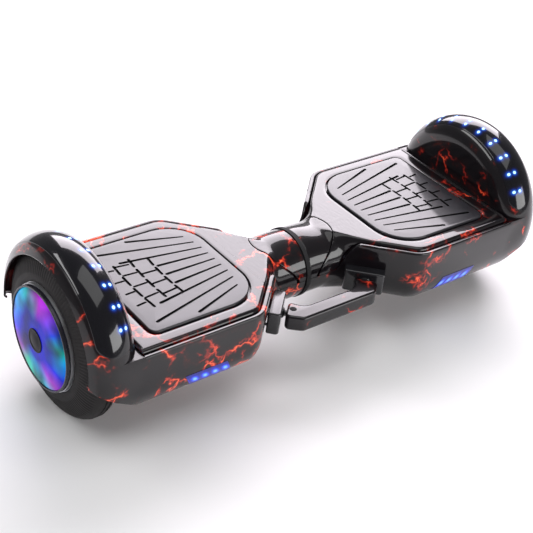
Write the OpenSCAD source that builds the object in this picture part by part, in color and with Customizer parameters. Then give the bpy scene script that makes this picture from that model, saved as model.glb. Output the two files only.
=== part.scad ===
// Self-balancing two-wheel board: two deck halves that twist on each other at
// the waist, a hub motor wheel at each end and a carrying handle across the
// front notch. Millimetres. +X is the rider's right, -Y is the front with the
// headlights, +Z is up. The origin is on the ground under the waist's middle.

/* [Overall] */
// Length across the two hub lenses
board_len = 584; // [560:1:720]
// Height of the deck's top face above the ground
deck_z = 109; // [106:1:132]
// Half of the deck's depth, front to back, at its top face
deck_half_y = 86; // [84:1:104]

/* [Wheels] */
// Radius of the tyre, which is also the height of the axle
tyre_r = 84; // [82:1:86]
// Width of the tyre
tyre_w = 46; // [40:1:47]
// Radius of the motor drum inside the tyre
drum_r = 57; // [54:1:66]
// Radius of the steel axle
axle_r = 6; // [5:0.5:7.5]
// Number of magnets round the drum
magnet_count = 30; // [20:2:30]

/* [Shells] */
// Thickness of the moulded shells
wall = 3; // [2.5:0.1:3.6]
// Height of the lower shell's flat bottom
base_z = 34; // [28:1:36]
// How far the lower shell's rim stands outside the deck's top face
rim_out = 6; // [5:0.5:7.5]
// Radius of the deck's corners beside the waist
corner_r = 22; // [18:1:27]
// Distance of those corners' centres from the waist's middle
corner_x = 114; // [110:1:126]

/* [Fenders] */
// Gap between the tyre's tread and the fender's inside
fender_gap = 3.5; // [3:0.5:5]
// Thickness of the fender at its crest, with the light channel
fender_t = 6; // [5.5:0.5:7.5]
// Width of the light strip along the crest
strip_w = 18; // [14:1:20]
// Pairs of lamps in each light strip
lamp_pairs = 10; // [8:1:11]
// Angle between neighbouring pairs, in degrees
lamp_pitch = 12.7; // [11:0.1:13.5]

/* [Foot pads] */
// Distance of the pad's inner end from the waist's middle
pad_x0 = 85; // [84:1:96]
// Length of the pad along the board
pad_len = 128; // [108:1:128]
// Half of the pad's depth, front to back
pad_half_y = 71; // [60:1:72]
// Thickness of the pad
pad_t = 3.4; // [2.8:0.1:4.2]
// Travel of the pad when a foot presses it
pad_travel = 1.5; // [1:0.1:1.8]

/* [Waist] */
// Radius of the round waist
neck_r = 36; // [34:1:40]
// Length of the oval waist cover on each side
cover_len = 47; // [42:1:52]
// Outer radius of the pivot tube
tube_r = 14; // [12:0.5:16]
// Largest twist of one half against the other, in degrees
twist_max = 10; // [8:1:12]

/* [Handle] */
// Depth of the grip, front to back
grip_d = 17; // [15:1:20]
// Thickness of the handle
grip_t = 17; // [15:1:19]
// Height of the handle's middle
handle_z = 69; // [68:1:72]
// Radius of the ball studs that carry the handle
ball_r = 4.5; // [4:0.1:5]

/* [Battery] */
// Length of the battery pack, along the board
battery_len = 92; // [76:1:100]
// Width of the battery pack
battery_w = 68; // [56:1:68]
// Height of the battery pack, two layers of cells
battery_h = 37; // [20:1:37]

/* [Hidden] */
$fn = 48;
seat = 0.3;              // gap between a part and what it rests in
run = 0.04;              // radial clearance of a turning fit
eps = 0.01;

// Wheel bay, measured inwards from the board's end
end_x = board_len / 2;
hub_bulge = 4;           // height of the hub lens's dome
tyre_x1 = end_x - 8;     // outer side of the tyre
tyre_x0 = tyre_x1 - tyre_w;
deck_end_x = end_x - 60; // end wall of the deck
wheel_z = tyre_r;

// Fender
fender_in = tyre_r + fender_gap;
fender_out = fender_in + fender_t;
fender_x1 = end_x - 4.5;
strip_x = end_x - 41;    // middle of the light strip
lens_t = 2;
led_t = 1.6;
parting_z = deck_z - 4.6; // height at which the two shells meet
strip_half_angle = acos((parting_z + 4 - wheel_z) / fender_out);

// Deck
plate_t = wall;
pocket_depth = 3.5;
pad_gap = 1.6;
pocket_z = deck_z - pocket_depth;
pad_z0 = pocket_z + pad_travel + 0.2;
skirt_z = deck_z - 9.5;
waist_x = 34;            // where the deck's slanted sides meet the waist
waist_half_y = 17;
slant = atan2(deck_half_y - corner_r - waist_half_y, corner_x - waist_x)
      + asin(corner_r / norm([deck_half_y - corner_r - waist_half_y, corner_x - waist_x]));
blade_x = [pad_x0 + 40, pad_x0 + 92];
blade = [8, 2];

// Waist
twist_z = 75;
ring_w = 4.4;
half_gap = 0.4;          // running gap beside the waist ring
cover_half = neck_r + 1.5;
neck_x0 = ring_w / 2 + half_gap;
neck_x1 = 44;
bush_t = 3;
socket_r = tube_r + bush_t + 4;
socket_x1 = 56;
tube_bore = tube_r - 3.5;
pin_r = 3;
pin_x = 32;

// Chassis
plate_z = 78;
chassis_t = 4;
chassis_half_y = 58;
clamp_len = 32;
clamp_x1 = deck_end_x - 8;
clamp_half_y = 17;
clamp_h = 11;
clamp_bolt_r = 3;
post_xy = [[pad_x0 + 20, 50], [deck_end_x - 37, 50]];

// Screws through the lower shell into the upper one
boss_xy = [[corner_x + 12, deck_half_y - 14], [deck_end_x - 16, deck_half_y - 14]];
boss_r = 4.5;
screw_r = 2;
boss_z = 72;

// Handle: its ball studs stand square to the slanted walls
bracket_t = 13;
bracket_z0 = 57;
bracket_z1 = 82;
bracket_hole = [[31, 64], [60, 64], [31, 76], [60, 76]];
bracket_screw_r = 1.5;
handle_gap = 4;
foot_off = rim_out + bracket_t + handle_gap;
ball_s = 46;
ball_off = foot_off + 6;
ball_z = 71;
bush_r = 7.4;
loose_r = 7;             // socket round the right ball, open so that the halves can twist

// Headlights, button and charging socket
lamp_x0 = corner_x + 17;
lamp_w = 47;
lamp_z0 = base_z + 16;
lamp_h = 15;
lamp_slant = 8;
button_x = corner_x + 6;
button_r = 7;
button_z = 80;
charge_x = button_x + 34;
charge_r = 6;
charge_out_r = 9;
charge_z = 80;
cap_r = 11;

// ---------------------------------------------------------------- helpers

module left() mirror([1, 0, 0]) children();

module along_x() rotate([90, 0, 90]) children();

// A disc or ring round a line along X, from x0 to x1
module tube_x(x0, x1, r_out, r_in = 0, z = 0) {
    translate([x0, 0, z]) along_x() difference() {
        cylinder(h = x1 - x0, r = r_out, $fn = 96);
        if (r_in > 0) translate([0, 0, -1]) cylinder(h = x1 - x0 + 2, r = r_in, $fn = 96);
    }
}

// Turns a profile of [radius, x] points round the axle
module revolve_x(points, z = wheel_z) {
    translate([0, 0, z]) along_x() rotate_extrude($fn = 120) polygon(points);
}

// Keeps what lies between two heights
module between(z0, z1) {
    intersection() {
        children();
        translate([-400, -200, z0]) cube([800, 400, z1 - z0]);
    }
}

// A point at a distance s along the front slanted wall and off outwards from it
function slant_point(s, off) = [waist_x + s * cos(slant) - off * sin(slant),
                                -(waist_half_y + s * sin(slant) + off * cos(slant))];

// Front edge of one deck half's plan, grown by g: waist, rounded corner, wheel end
function deck_edge(g, end) = let (r = corner_r + g) concat(
    [slant_point(g * (sin(slant) - 1) / cos(slant), g)],
    r > 1 ? [for (i = [0 : 8]) let (a = 270 - slant * (1 - i / 8))
                [corner_x + r * cos(a), corner_r - deck_half_y + r * sin(a)]]
          : [slant_point((deck_half_y + g - waist_half_y - g * cos(slant)) / sin(slant), g)],
    [[end, -(deck_half_y + g)]]);

// Plan of one deck half, grown by g, with a straight end at the wheel
module deck_plan(g = 0, end = deck_end_x) {
    edge = deck_edge(g, end);
    polygon(concat(edge, [for (i = [len(edge) - 1 : -1 : 0]) [edge[i][0], -edge[i][1]]]));
}

module pad_plan(g = 0) {
    inner_r = 40;
    outer_r = 9;
    offset(delta = g) hull() for (s = [-1, 1]) {
        translate([pad_x0 + inner_r, s * (pad_half_y - inner_r)]) circle(inner_r);
        translate([pad_x0 + pad_len - outer_r, s * (pad_half_y - outer_r)]) circle(outer_r);
    }
}

module cover_plan(g = 0) {
    intersection() {
        scale([cover_len + g, cover_half + g]) circle(1, $fn = 96);
        translate([neck_x0, -60]) square([80, 120]);
    }
}

// Places children at a distance s along the front slanted wall and off from it;
// their +X then runs along the wall and their -Y away from it
module on_slant(s, off, z) {
    translate([waist_x, -waist_half_y, z]) rotate([0, 0, -slant]) translate([s, -off, 0]) children();
}

// ---------------------------------------------------------------- shells

// Everything behind a wall that runs along X and curves under towards the floor
module behind_wall(t) {
    translate([-200, 0, 0]) along_x() linear_extrude(700) polygon([
        [t - rim_out, 300], [t - rim_out, base_z + 32], [t - rim_out + 3, base_z + 18],
        [t - rim_out + 13, base_z + 7 + t / 2], [t - rim_out + 28, base_z + t],
        [600, base_z + t], [600, 300]]);
}

// The lower shell's outer solid, or its inside at a depth t
module tub(t) {
    top = t > 0 ? parting_z + 10 : parting_z;
    intersection() {
        translate([0, 0, base_z - 5]) linear_extrude(top - base_z + 5)
            deck_plan(rim_out - t, deck_end_x - 0.5 - t);
        translate([0, -deck_half_y, 0]) behind_wall(t);
        mirror([0, 1, 0]) translate([0, -deck_half_y, 0]) behind_wall(t);
        on_slant(0, 0, 0) behind_wall(t);
        mirror([0, 1, 0]) on_slant(0, 0, 0) behind_wall(t);
    }
}

// Round section of the fender as [radius, x]; its inner wall closes the deck's end
fender_inner_r = 17;     // rounding on the deck's side
fender_outer_r = 25;     // rounding on the wheel's outer side
fender_lip_angle = 20;   // where the outer rounding ends in the arch's edge

function fender_arc(round_r, x, angles, inset = 0) = [for (a = angles)
    [min(inset > 0 ? fender_in : fender_out, fender_out - round_r + (round_r - inset) * sin(a)),
     x + (round_r - inset) * cos(a)]];

module fender_ring() {
    inner_x = deck_end_x - wall + fender_inner_r;
    outer_x = fender_x1 - fender_outer_r;
    revolve_x(concat([[12, deck_end_x - wall]],
        fender_arc(fender_inner_r, inner_x, [180 : -15 : 90]),
        fender_arc(fender_outer_r, outer_x, [90 : -10 : fender_lip_angle]),
        fender_arc(fender_outer_r, outer_x, [fender_lip_angle : 10 : 60], wall),
        fender_arc(fender_inner_r, inner_x, [120 : 15 : 180], wall),
        [[12, deck_end_x]]));
}

// Channel that the light strip lies in
module strip_ring(x_half, r0, r1) tube_x(strip_x - x_half, strip_x + x_half, r1, r0, wheel_z);

module strip_sector(half_angle) {
    translate([0, 0, wheel_z]) along_x() rotate([0, 0, 90 - half_angle])
        rotate_extrude(angle = 2 * half_angle, $fn = 96) translate([60, 0]) square([60, end_x]);
}

// Round waist that narrows into the deck
module neck() {
    revolve_x([[neck_r - wall, neck_x0], [neck_r, neck_x0], [neck_r, neck_x1],
        [neck_r - 3, neck_x1 + 16], [neck_r - wall - 3, neck_x1 + 16], [neck_r - wall, neck_x1]],
        twist_z);
}

module pad_pocket(g, z0, z1) translate([0, 0, z0]) linear_extrude(z1 - z0) pad_plan(g);

module upper_shell() color([0.04, 0.035, 0.04]) {
    end = deck_end_x - 1.2;
    difference() {
        union() {
            difference() {
                translate([0, 0, skirt_z]) linear_extrude(deck_z - skirt_z) deck_plan(0, end);
                translate([0, 0, skirt_z - 1]) linear_extrude(deck_z - skirt_z + 1 - plate_t)
                    deck_plan(-wall, end + 5);
                // The lower shell's end wall stands in this gap
                translate([deck_end_x - wall - 0.9, -150, skirt_z - 2])
                    cube([20, 300, parting_z - skirt_z + 2.1]);
                tube_x(-1, neck_x1 + 12, neck_r - 1, 0, twist_z);
            }
            pad_pocket(pad_gap + 2.4, pocket_z - 2.5, deck_z - 1);
            between(twist_z + 0.2, 200) neck();
            between(parting_z + 0.2, 300) fender_ring();
            for (p = boss_xy, s = [-1, 1]) translate([p[0], s * p[1], boss_z + seat])
                cylinder(h = deck_z - boss_z - 1, r = boss_r);
        }
        pad_pocket(pad_gap, pocket_z, deck_z + 5);
        translate([0, 0, twist_z]) linear_extrude(60) cover_plan(0.4);
        for (x = blade_x) translate([x, 0, 100])
            cube([blade[0] + 0.8, blade[1] + 0.8, 30], center = true);
        for (p = boss_xy, s = [-1, 1]) translate([p[0], s * p[1], boss_z - 1])
            cylinder(h = 20, r = screw_r + run);
        intersection() {
            strip_ring(strip_w / 2 + 0.2, fender_out - lens_t - led_t - 0.4, fender_out + 5);
            strip_sector(strip_half_angle + 0.3);
        }
    }
}

module waist_cover() color([0.05, 0.04, 0.05]) intersection() {
    between(twist_z + 0.2, 200) union() {
        neck();
        translate([0, 0, deck_z - plate_t]) linear_extrude(plate_t - 0.5) difference() {
            deck_plan(-wall - 1);
            translate([0, -neck_r / 2]) square([neck_x1 - 2, neck_r]);
        }
    }
    translate([0, 0, twist_z]) linear_extrude(60) cover_plan(0);
}

// Lower part of the wheel arch, which wraps the fender's feet
module wing() {
    x0 = deck_end_x - 1.5;
    between(base_z, parting_z - 0.2) intersection() {
        fender_ring();
        rotate([90, 0, 0]) translate([0, 0, -150]) linear_extrude(300) polygon([
            [x0, base_z + 10], [end_x, base_z + 53], [end_x, parting_z + 9], [x0, parting_z + 9]]);
    }
}

module headlight_plan(g = 0) {
    offset(delta = g) polygon([[lamp_x0, lamp_z0], [lamp_x0 + lamp_w, lamp_z0],
        [lamp_x0 + lamp_w + lamp_slant, lamp_z0 + lamp_h], [lamp_x0 + lamp_slant, lamp_z0 + lamp_h]]);
}

module headlight_prism(g = 0) {
    translate([0, -40, 0]) rotate([90, 0, 0]) linear_extrude(80) headlight_plan(g);
}

module lower_shell(rear_controls = false) color([0.05, 0.03, 0.035]) {
    difference() {
        union() {
            difference() {
                union() {
                    difference() {
                        tub(0);
                        tub(wall);
                    }
                    // Ledge that the upper shell's skirt stands on
                    translate([0, 0, skirt_z - 2.4]) linear_extrude(2.2) difference() {
                        deck_plan(rim_out - wall + 0.2, deck_end_x - 1);
                        deck_plan(-wall - 1.5, deck_end_x - wall - 2);
                    }
                }
                tube_x(-1, neck_x1 + 10, neck_r - 1, 0, twist_z);
                between(twist_z - 0.2, 200) tube_x(-1, neck_x1 + 24, neck_r + 0.4, 0, twist_z);
            }
            between(0, twist_z - 0.2) neck();
            wing();
            intersection() {
                tub(0.5);
                for (p = boss_xy, s = [-1, 1]) translate([p[0], s * p[1], base_z - 5])
                    cylinder(h = boss_z - base_z + 5, r = boss_r);
            }
        }
        for (p = boss_xy, s = [-1, 1]) translate([p[0], s * p[1], base_z - 10]) {
            cylinder(h = 60, r = screw_r + 0.3);
            cylinder(h = 31, r = 2 * screw_r + 0.4);
        }
        tube_x(deck_end_x - 10, deck_end_x + 3, axle_r + 3, 0, wheel_z);
        headlight_prism(0.3);
        for (p = bracket_hole) on_slant(p[0], -10, p[1]) rotate([90, 0, 0])
            cylinder(h = 30, r = bracket_screw_r + run);
        if (rear_controls) {
            translate([button_x, deck_half_y + 20, button_z]) rotate([90, 0, 0])
                cylinder(h = 40, r = button_r + 0.3);
            translate([charge_x, deck_half_y + 20, charge_z]) rotate([90, 0, 0])
                cylinder(h = 40, r = charge_out_r + 0.05);
        }
    }
}

module headlight_lens() color([0.3, 0.4, 1, 0.6]) intersection() {
    difference() {
        tub(0);
        tub(wall);
    }
    headlight_prism(0);
}

// A row of lamps on a board behind the lens
module headlight_leds() {
    y = -(deck_half_y + rim_out - wall - 9);
    color([0.1, 0.2, 0.9]) translate([lamp_x0 + 4, y, lamp_z0 + 1.5]) {
        cube([lamp_w, 1.6, lamp_h - 3]);
        for (i = [0 : 3]) translate([6 + i * 11.5, 0, (lamp_h - 3) / 2]) rotate([90, 0, 0])
            cylinder(h = 3, r = 2.4);
        for (x = [3, lamp_w - 6]) translate([x, 0, lamp_h - 3]) cube([3, 1.6, 4]);
    }
    color([0.9, 0.9, 0.9]) for (x = [lamp_x0 + 7, lamp_x0 + lamp_w - 2])
        translate([x, y, lamp_z0 + lamp_h + 2.5]) rotate([0, 0, 180]) mirror([1, 0, 0])
            cube([3, 8.7, 3]);
}

module fender_lens() color([0.6, 0.7, 0.9, 0.5]) intersection() {
    strip_ring(strip_w / 2, fender_out - lens_t, fender_out + 0.3);
    strip_sector(strip_half_angle);
}

// Flexible strip under the lens with its pairs of lamps
module fender_leds() color([0.4, 0.7, 1]) {
    r0 = fender_out - lens_t - led_t - 0.2;
    intersection() {
        strip_ring(strip_w / 2 - 1, r0, r0 + 0.8);
        strip_sector(strip_half_angle - 1);
    }
    for (i = [0 : lamp_pairs - 1], dx = [-4, 4])
        translate([strip_x + dx, 0, wheel_z]) rotate([(i - (lamp_pairs - 1) / 2) * lamp_pitch, 0, 0])
            translate([0, 0, r0 + 0.6]) cylinder(h = led_t - 0.6, r = 1.8, $fn = 24);
}

// Screws of one half: four from below into the upper shell, four in the handle's bracket
module screws() color([0.55, 0.55, 0.57]) {
    head_z = base_z + 21;
    for (p = boss_xy, s = [-1, 1]) translate([p[0], s * p[1], head_z - 3]) difference() {
        union() {
            cylinder(h = 3, r = 2 * screw_r);
            cylinder(h = boss_z - head_z + 18, r = screw_r);
        }
        translate([0, 0, -1]) cylinder(h = 2.6, r = 1.4, $fn = 6);
    }
    for (p = bracket_hole) on_slant(p[0], rim_out + bracket_t - 0.4, p[1]) rotate([-90, 0, 0]) {
        cylinder(h = 2.4, r = 3.2);
        cylinder(h = bracket_t + wall + 2, r = bracket_screw_r);
    }
}

// ---------------------------------------------------------------- foot pad

// One groove from [x, y] to [x, y]
module groove(a, b) {
    w = 1.3;
    d = b - a;
    translate([a[0], a[1], pad_z0 + pad_t - 1]) rotate([0, 0, atan2(d[1], d[0])])
        translate([0, -w / 2, 0]) cube([norm(d), w, 2]);
}

// Sideways place of the i-th ray at a distance along the board
function ray_y(i, x) = i * (pad_half_y * 0.155 + (x - pad_x0 - 10) * 0.082);

module foot_pad() color([0.09, 0.09, 0.1]) {
    x0 = pad_x0 + 11;
    difference() {
        translate([0, 0, pad_z0]) linear_extrude(pad_t) pad_plan(0);
        for (i = [-4 : 4]) {
            far = abs(i) == 4 ? pad_x0 + 62 : abs(i) == 3 ? pad_x0 + 92 : pad_x0 + 66;
            groove([x0, ray_y(i, x0)], [far, ray_y(i, far)]);
        }
    }
    for (x = blade_x) translate([x - blade[0] / 2, -blade[1] / 2, pocket_z - 7])
        cube([blade[0], blade[1], pad_z0 - pocket_z + 7.5]);
}

// ---------------------------------------------------------------- chassis

module axle_hole(x0, x1, r) tube_x(x0, x1, r, 0, wheel_z);

module chassis(bushed) color([0.6, 0.61, 0.63]) {
    z1 = plate_z + chassis_t;
    difference() {
        union() {
            translate([0, 0, plate_z]) linear_extrude(chassis_t) polygon([
                [20, -socket_r - 6], [60, -socket_r - 6], [98, -chassis_half_y],
                [deck_end_x - 6, -chassis_half_y], [deck_end_x - 6, chassis_half_y],
                [98, chassis_half_y], [60, socket_r + 6], [20, socket_r + 6]]);
            for (s = [-1, 1]) translate([98, s * (chassis_half_y - 2) - 2, z1 - 1])
                cube([deck_end_x - 104, 4, 12]);
            for (x = [98, 146, clamp_x1 - clamp_len - 6])
                translate([x, -chassis_half_y + 1, z1 - 1]) cube([4, 2 * chassis_half_y - 2, 7]);
            translate([clamp_x1 - clamp_len, -clamp_half_y, plate_z - 5])
                cube([clamp_len, 2 * clamp_half_y, wheel_z - plate_z + 5]);
            for (p = post_xy, s = [-1, 1]) translate([p[0], s * p[1], z1 - 1])
                cylinder(h = pocket_z - 2.5 - z1 + 1, r = 5);
            tube_x(neck_x0 + 4, socket_x1, socket_r, 0, twist_z);
        }
        axle_hole(clamp_x1 - clamp_len - 3, clamp_x1 + 20, axle_r + run);
        // Notch for the end of the tube and its cable
        translate([socket_x1, -tube_r - 5, plate_z - 1])
            cube([18, 2 * tube_r + 10, chassis_t + 2]);
        tube_x(0, socket_x1 + 3, bushed ? tube_r + bush_t + 0.02 : tube_r + 0.02, 0, twist_z);
        for (dx = [7, clamp_len - 7], s = [-1, 1])
            translate([clamp_x1 - clamp_len + dx, s * (clamp_half_y - 5), plate_z - 8])
                cylinder(h = 20, r = clamp_bolt_r + run);
        // Slot that lets the limit pin swing with the other half
        if (bushed) translate([pin_x - pin_r - 0.3, 0, twist_z]) along_x()
            rotate([0, 0, 90 - twist_max - 13]) rotate_extrude(angle = 2 * twist_max + 26)
                translate([tube_r - 2, 0]) square([20, 2 * pin_r + 0.6]);
    }
}

module axle_clamp() color([0.5, 0.51, 0.53]) difference() {
    translate([clamp_x1 - clamp_len, -clamp_half_y, wheel_z + seat])
        cube([clamp_len, 2 * clamp_half_y, clamp_h]);
    axle_hole(clamp_x1 - clamp_len - 1, clamp_x1 + 1, axle_r + run);
    for (dx = [7, clamp_len - 7], s = [-1, 1])
        translate([clamp_x1 - clamp_len + dx, s * (clamp_half_y - 5), wheel_z - 1])
            cylinder(h = clamp_h + 3, r = clamp_bolt_r + 0.2);
}

module clamp_bolts() color([0.25, 0.25, 0.27])
    for (dx = [7, clamp_len - 7], s = [-1, 1])
        translate([clamp_x1 - clamp_len + dx, s * (clamp_half_y - 5), plate_z - 4.5]) difference() {
            union() {
                cylinder(h = wheel_z - plate_z + clamp_h + 4.8 + seat, r = clamp_bolt_r);
                translate([0, 0, wheel_z - plate_z + clamp_h + 4.6 + seat]) cylinder(h = 4, r = 4.8);
            }
            translate([0, 0, wheel_z - plate_z + clamp_h + 6.4 + seat])
                cylinder(h = 5, r = 2.6, $fn = 6);
        }

// Balance and foot sensor board, with a fork-shaped light barrier under each blade
module sensor_board() {
    z0 = plate_z + chassis_t + 8;
    color([0.05, 0.35, 0.2]) translate([blade_x[0] - 16, -27, z0])
        cube([blade_x[1] - blade_x[0] + 26, 54, 1.6]);
    color([0.1, 0.1, 0.1]) for (x = blade_x) translate([x, 0, z0 + 1.6]) difference() {
        translate([-6, -6, 0]) cube([12, 12, pocket_z - 3.2 - z0 - 1.6]);
        translate([-7, -2, 2]) cube([14, 4, 30]);
    }
    color([0.7, 0.7, 0.7]) for (x = [blade_x[0] - 12, blade_x[1] + 6], s = [-1, 1])
        translate([x, s * 23, plate_z + chassis_t]) cylinder(h = 8, r = 2.5);
}

// ---------------------------------------------------------------- wheel

module axle() color([0.7, 0.7, 0.72])
    tube_x(clamp_x1 - clamp_len - 2, drum_x1 + 0.9, axle_r, axle_r - 3, wheel_z);

module tyre() color([0.05, 0.05, 0.05]) {
    m = 3.5;
    rib = 5;
    side_r = tyre_w / 2 - 3;
    side = [for (a = [0 : 15 : 75]) [tyre_r - side_r + side_r * sin(a), side_r * (1 - cos(a))]];
    half = concat([[drum_r - rib, 0]], side, [[tyre_r, side_r]]);
    revolve_x(concat([for (p = half) [p[0], tyre_x0 + p[1]]],
        [for (i = [len(half) - 1 : -1 : 0]) [half[i][0], tyre_x1 - half[i][1]]],
        [[drum_r - rib, tyre_x1 - m], [drum_r, tyre_x1 - m - 1],
         [drum_r, tyre_x0 + m + 1], [drum_r - rib, tyre_x0 + m]]));
}

drum_x0 = tyre_x0 + 4.8;
drum_x1 = tyre_x1 - 4.8;
bell_r = drum_r - 5.3;
bearing_r = 14;
bearing_w = 6;
magnet_t = 2.4;
air_gap = 0.7;
stator_r = drum_r - 4 - magnet_t - air_gap;

// Motor drum: the tyre sits on it and the magnets line it
module rim() color([0.55, 0.56, 0.58]) difference() {
    union() {
        tube_x(drum_x0, drum_x1, drum_r - run, 0, wheel_z);
        tube_x(drum_x1 - 1, tyre_x1 - 1, bell_r, 0, wheel_z);
    }
    tube_x(drum_x0 - 1, drum_x1 - 3.5, drum_r - 4, 0, wheel_z);
    tube_x(drum_x1 - 8, drum_x1 + 1.2, bearing_r + 0.02, 0, wheel_z);
}

module magnets() color([0.3, 0.3, 0.33]) {
    span = 360 / magnet_count;
    translate([drum_x0 + 7, 0, wheel_z]) along_x()
        for (i = [0 : magnet_count - 1]) rotate([0, 0, i * span])
            rotate_extrude(angle = span * 0.86) translate([drum_r - 4.05 - magnet_t, 0])
                square([magnet_t, drum_x1 - drum_x0 - 16]);
}

// Laminated core with its wound teeth, fixed on the axle
module stator() {
    slots = 27;
    x0 = drum_x0 + 8;
    len_x = drum_x1 - drum_x0 - 18;
    color([0.45, 0.3, 0.2]) difference() {
        tube_x(x0, x0 + len_x, stator_r, axle_r + 0.02, wheel_z);
        translate([x0 - 1, 0, wheel_z]) along_x() for (i = [0 : slots - 1])
            rotate([0, 0, i * 360 / slots]) translate([stator_r - 15, -1.1, 0])
                cube([20, 2.2, len_x + 2]);
    }
}

module motor_cover() color([0.5, 0.5, 0.52]) difference() {
    union() {
        tube_x(tyre_x0 + 0.6, drum_x0 - 0.3, bell_r, 0, wheel_z);
        tube_x(drum_x0 - 1, drum_x0 + 6.4, bearing_r + 4, 0, wheel_z);
    }
    tube_x(tyre_x0 - 1, drum_x0 + 8, axle_r + 1, 0, wheel_z);
    tube_x(drum_x0 - 0.1, drum_x0 + 8, bearing_r + 0.02, 0, wheel_z);
}

module bearings() color([0.75, 0.75, 0.77])
    for (x = [drum_x0, drum_x1 - bearing_w + 1]) tube_x(x, x + bearing_w, bearing_r, axle_r + run, wheel_z);

// Ring of coloured lamps behind the clear hub lens
module hub_leds() color([0.2, 0.4, 0.9]) {
    tube_x(tyre_x1 - 0.8, tyre_x1 + 0.6, drum_r - 12, 16, wheel_z);
    for (i = [0 : 11]) translate([tyre_x1 + 0.5, 0, wheel_z]) rotate([i * 30, 0, 0])
        translate([0, 0, (drum_r + 4) / 2]) along_x() cylinder(h = 1.4, r = 2.6, $fn = 24);
}

module hub_lens() color([0.5, 0.7, 1, 0.5]) {
    rim_r = drum_r - 6;
    x0 = tyre_x1 - 0.9;
    dome = [for (a = [90 : -10 : 20]) [13 + (rim_r - 13) * sin(a), end_x - hub_bulge + hub_bulge * cos(a)]];
    inside = [for (p = dome) [p[0] - 2 > 13 ? p[0] - 2 : 13, p[1] - 2]];
    revolve_x(concat([[rim_r, x0], [rim_r, end_x - hub_bulge]], dome, [[13, end_x], [0, end_x],
        [0, end_x - 2.5], [13, end_x - 2.5]],
        [for (i = [len(inside) - 1 : -1 : 0]) inside[i]], [[rim_r - 2, x0]]));
}

// ---------------------------------------------------------------- waist

module pivot_tube() color([0.65, 0.65, 0.68]) difference() {
    tube_x(-socket_x1, socket_x1 + 5, tube_r, tube_bore, twist_z);
    tube_x(socket_x1 + 0.8, socket_x1 + 2.6, tube_r + 2, tube_r - 1.2, twist_z);
    translate([pin_x, 0, twist_z]) cylinder(h = tube_r + 5, r = pin_r + 0.02);
}

module pivot_bushes() color([0.75, 0.6, 0.3])
    for (x = [neck_x0 + 4.2, socket_x1 - 14])
        tube_x(x, x + 13.6, tube_r + bush_t, tube_r + run, twist_z);

module pivot_circlip() color([0.3, 0.3, 0.32]) difference() {
    tube_x(socket_x1 + 1, socket_x1 + 2.4, tube_r + 3, tube_r - 1.1, twist_z);
    translate([socket_x1, -4, twist_z - tube_r - 6]) cube([4, 8, 12]);
}

module limit_pin() color([0.6, 0.6, 0.62])
    translate([pin_x, 0, twist_z + tube_bore + 0.4]) cylinder(h = socket_r - tube_bore + 1, r = pin_r);

module waist_ring() color([0.02, 0.02, 0.02])
    tube_x(-ring_w / 2 - seat, ring_w / 2, neck_r + 1, neck_r - wall - 1, twist_z);

// Cables through the tube, gripped by a grommet at the left end
module wiring_loom() {
    color([0.03, 0.03, 0.03]) tube_x(-socket_x1 - 8, socket_x1 + 10, 5, 0, twist_z);
    color([0.1, 0.1, 0.1]) for (x = [-socket_x1 + 0.5, socket_x1 - 7])
        tube_x(x, x + 7, tube_bore - 0.2, 5 + eps, twist_z);
    color([0.9, 0.9, 0.85]) for (x = [-socket_x1 - 13, socket_x1 + 10])
        translate([x, -6, twist_z - 4]) cube([5, 12, 8]);
}

// ---------------------------------------------------------------- inside

module battery_pack() color([0.1, 0.25, 0.7])
    translate([clamp_x1 - clamp_len - 2 - battery_len, -battery_w / 2, base_z + wall + seat])
        cube([battery_len, battery_w, battery_h]);

module control_board() {
    x0 = socket_x1 + 10;
    z0 = plate_z - 16;
    color([0.05, 0.35, 0.2]) translate([x0, -40, z0]) cube([112, 80, 1.6]);
    color([0.7, 0.7, 0.72]) translate([x0 + 14, -36, z0 + 1.6]) cube([84, 18, 14.4]);
    color([0.1, 0.1, 0.12]) for (i = [0 : 2]) translate([x0 + 26 + i * 24, 22, z0 - 18])
        cylinder(h = 18, r = 7);
    color([0.7, 0.7, 0.7]) for (x = [x0 + 6, x0 + 106], s = [-1, 1])
        translate([x, s * 35, z0 + 1.6]) cylinder(h = 14.4, r = 3);
    color([0.9, 0.9, 0.85]) for (i = [0 : 3]) translate([x0 + 16 + i * 22, -12, z0 - 8])
        cube([14, 8, 8]);
}

module power_button() color([0.2, 0.2, 0.22])
    translate([button_x, deck_half_y + rim_out + 1.8, button_z]) rotate([90, 0, 0]) {
        cylinder(h = 9, r = button_r);
        translate([0, 0, 6]) cylinder(h = 3, r = button_r + 1.5);
    }

module charge_socket() color([0.5, 0.5, 0.52])
    translate([charge_x, deck_half_y + rim_out, charge_z]) rotate([90, 0, 0]) difference() {
        union() {
            translate([0, 0, -1]) cylinder(h = 15, r = charge_out_r);
            translate([0, 0, wall + 0.3]) cylinder(h = 3, r = charge_out_r + 3);
        }
        translate([0, 0, -2]) cylinder(h = 13, r = charge_r);
    }

// Rubber flap over the socket, hinged on a stub above it
module charge_cap() color([0.06, 0.06, 0.06])
    translate([charge_x, deck_half_y + rim_out, charge_z]) {
        translate([0, 3.6, 0]) rotate([90, 0, 0]) cylinder(h = 2.4, r = cap_r);
        translate([-6, 1.2, cap_r - 3]) cube([12, 2.4, 6]);
        translate([-6, 2.4, cap_r + 3]) rotate([0, 90, 0]) cylinder(h = 12, r = 1.9);
    }

// ---------------------------------------------------------------- handle

module ball_stud(z) {
    on_slant(ball_s, rim_out + bracket_t - 1, z) rotate([90, 0, 0])
        cylinder(h = handle_gap + 4, r = 2.6, $fn = 32);
    on_slant(ball_s, ball_off, z) sphere(ball_r);
}

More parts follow.
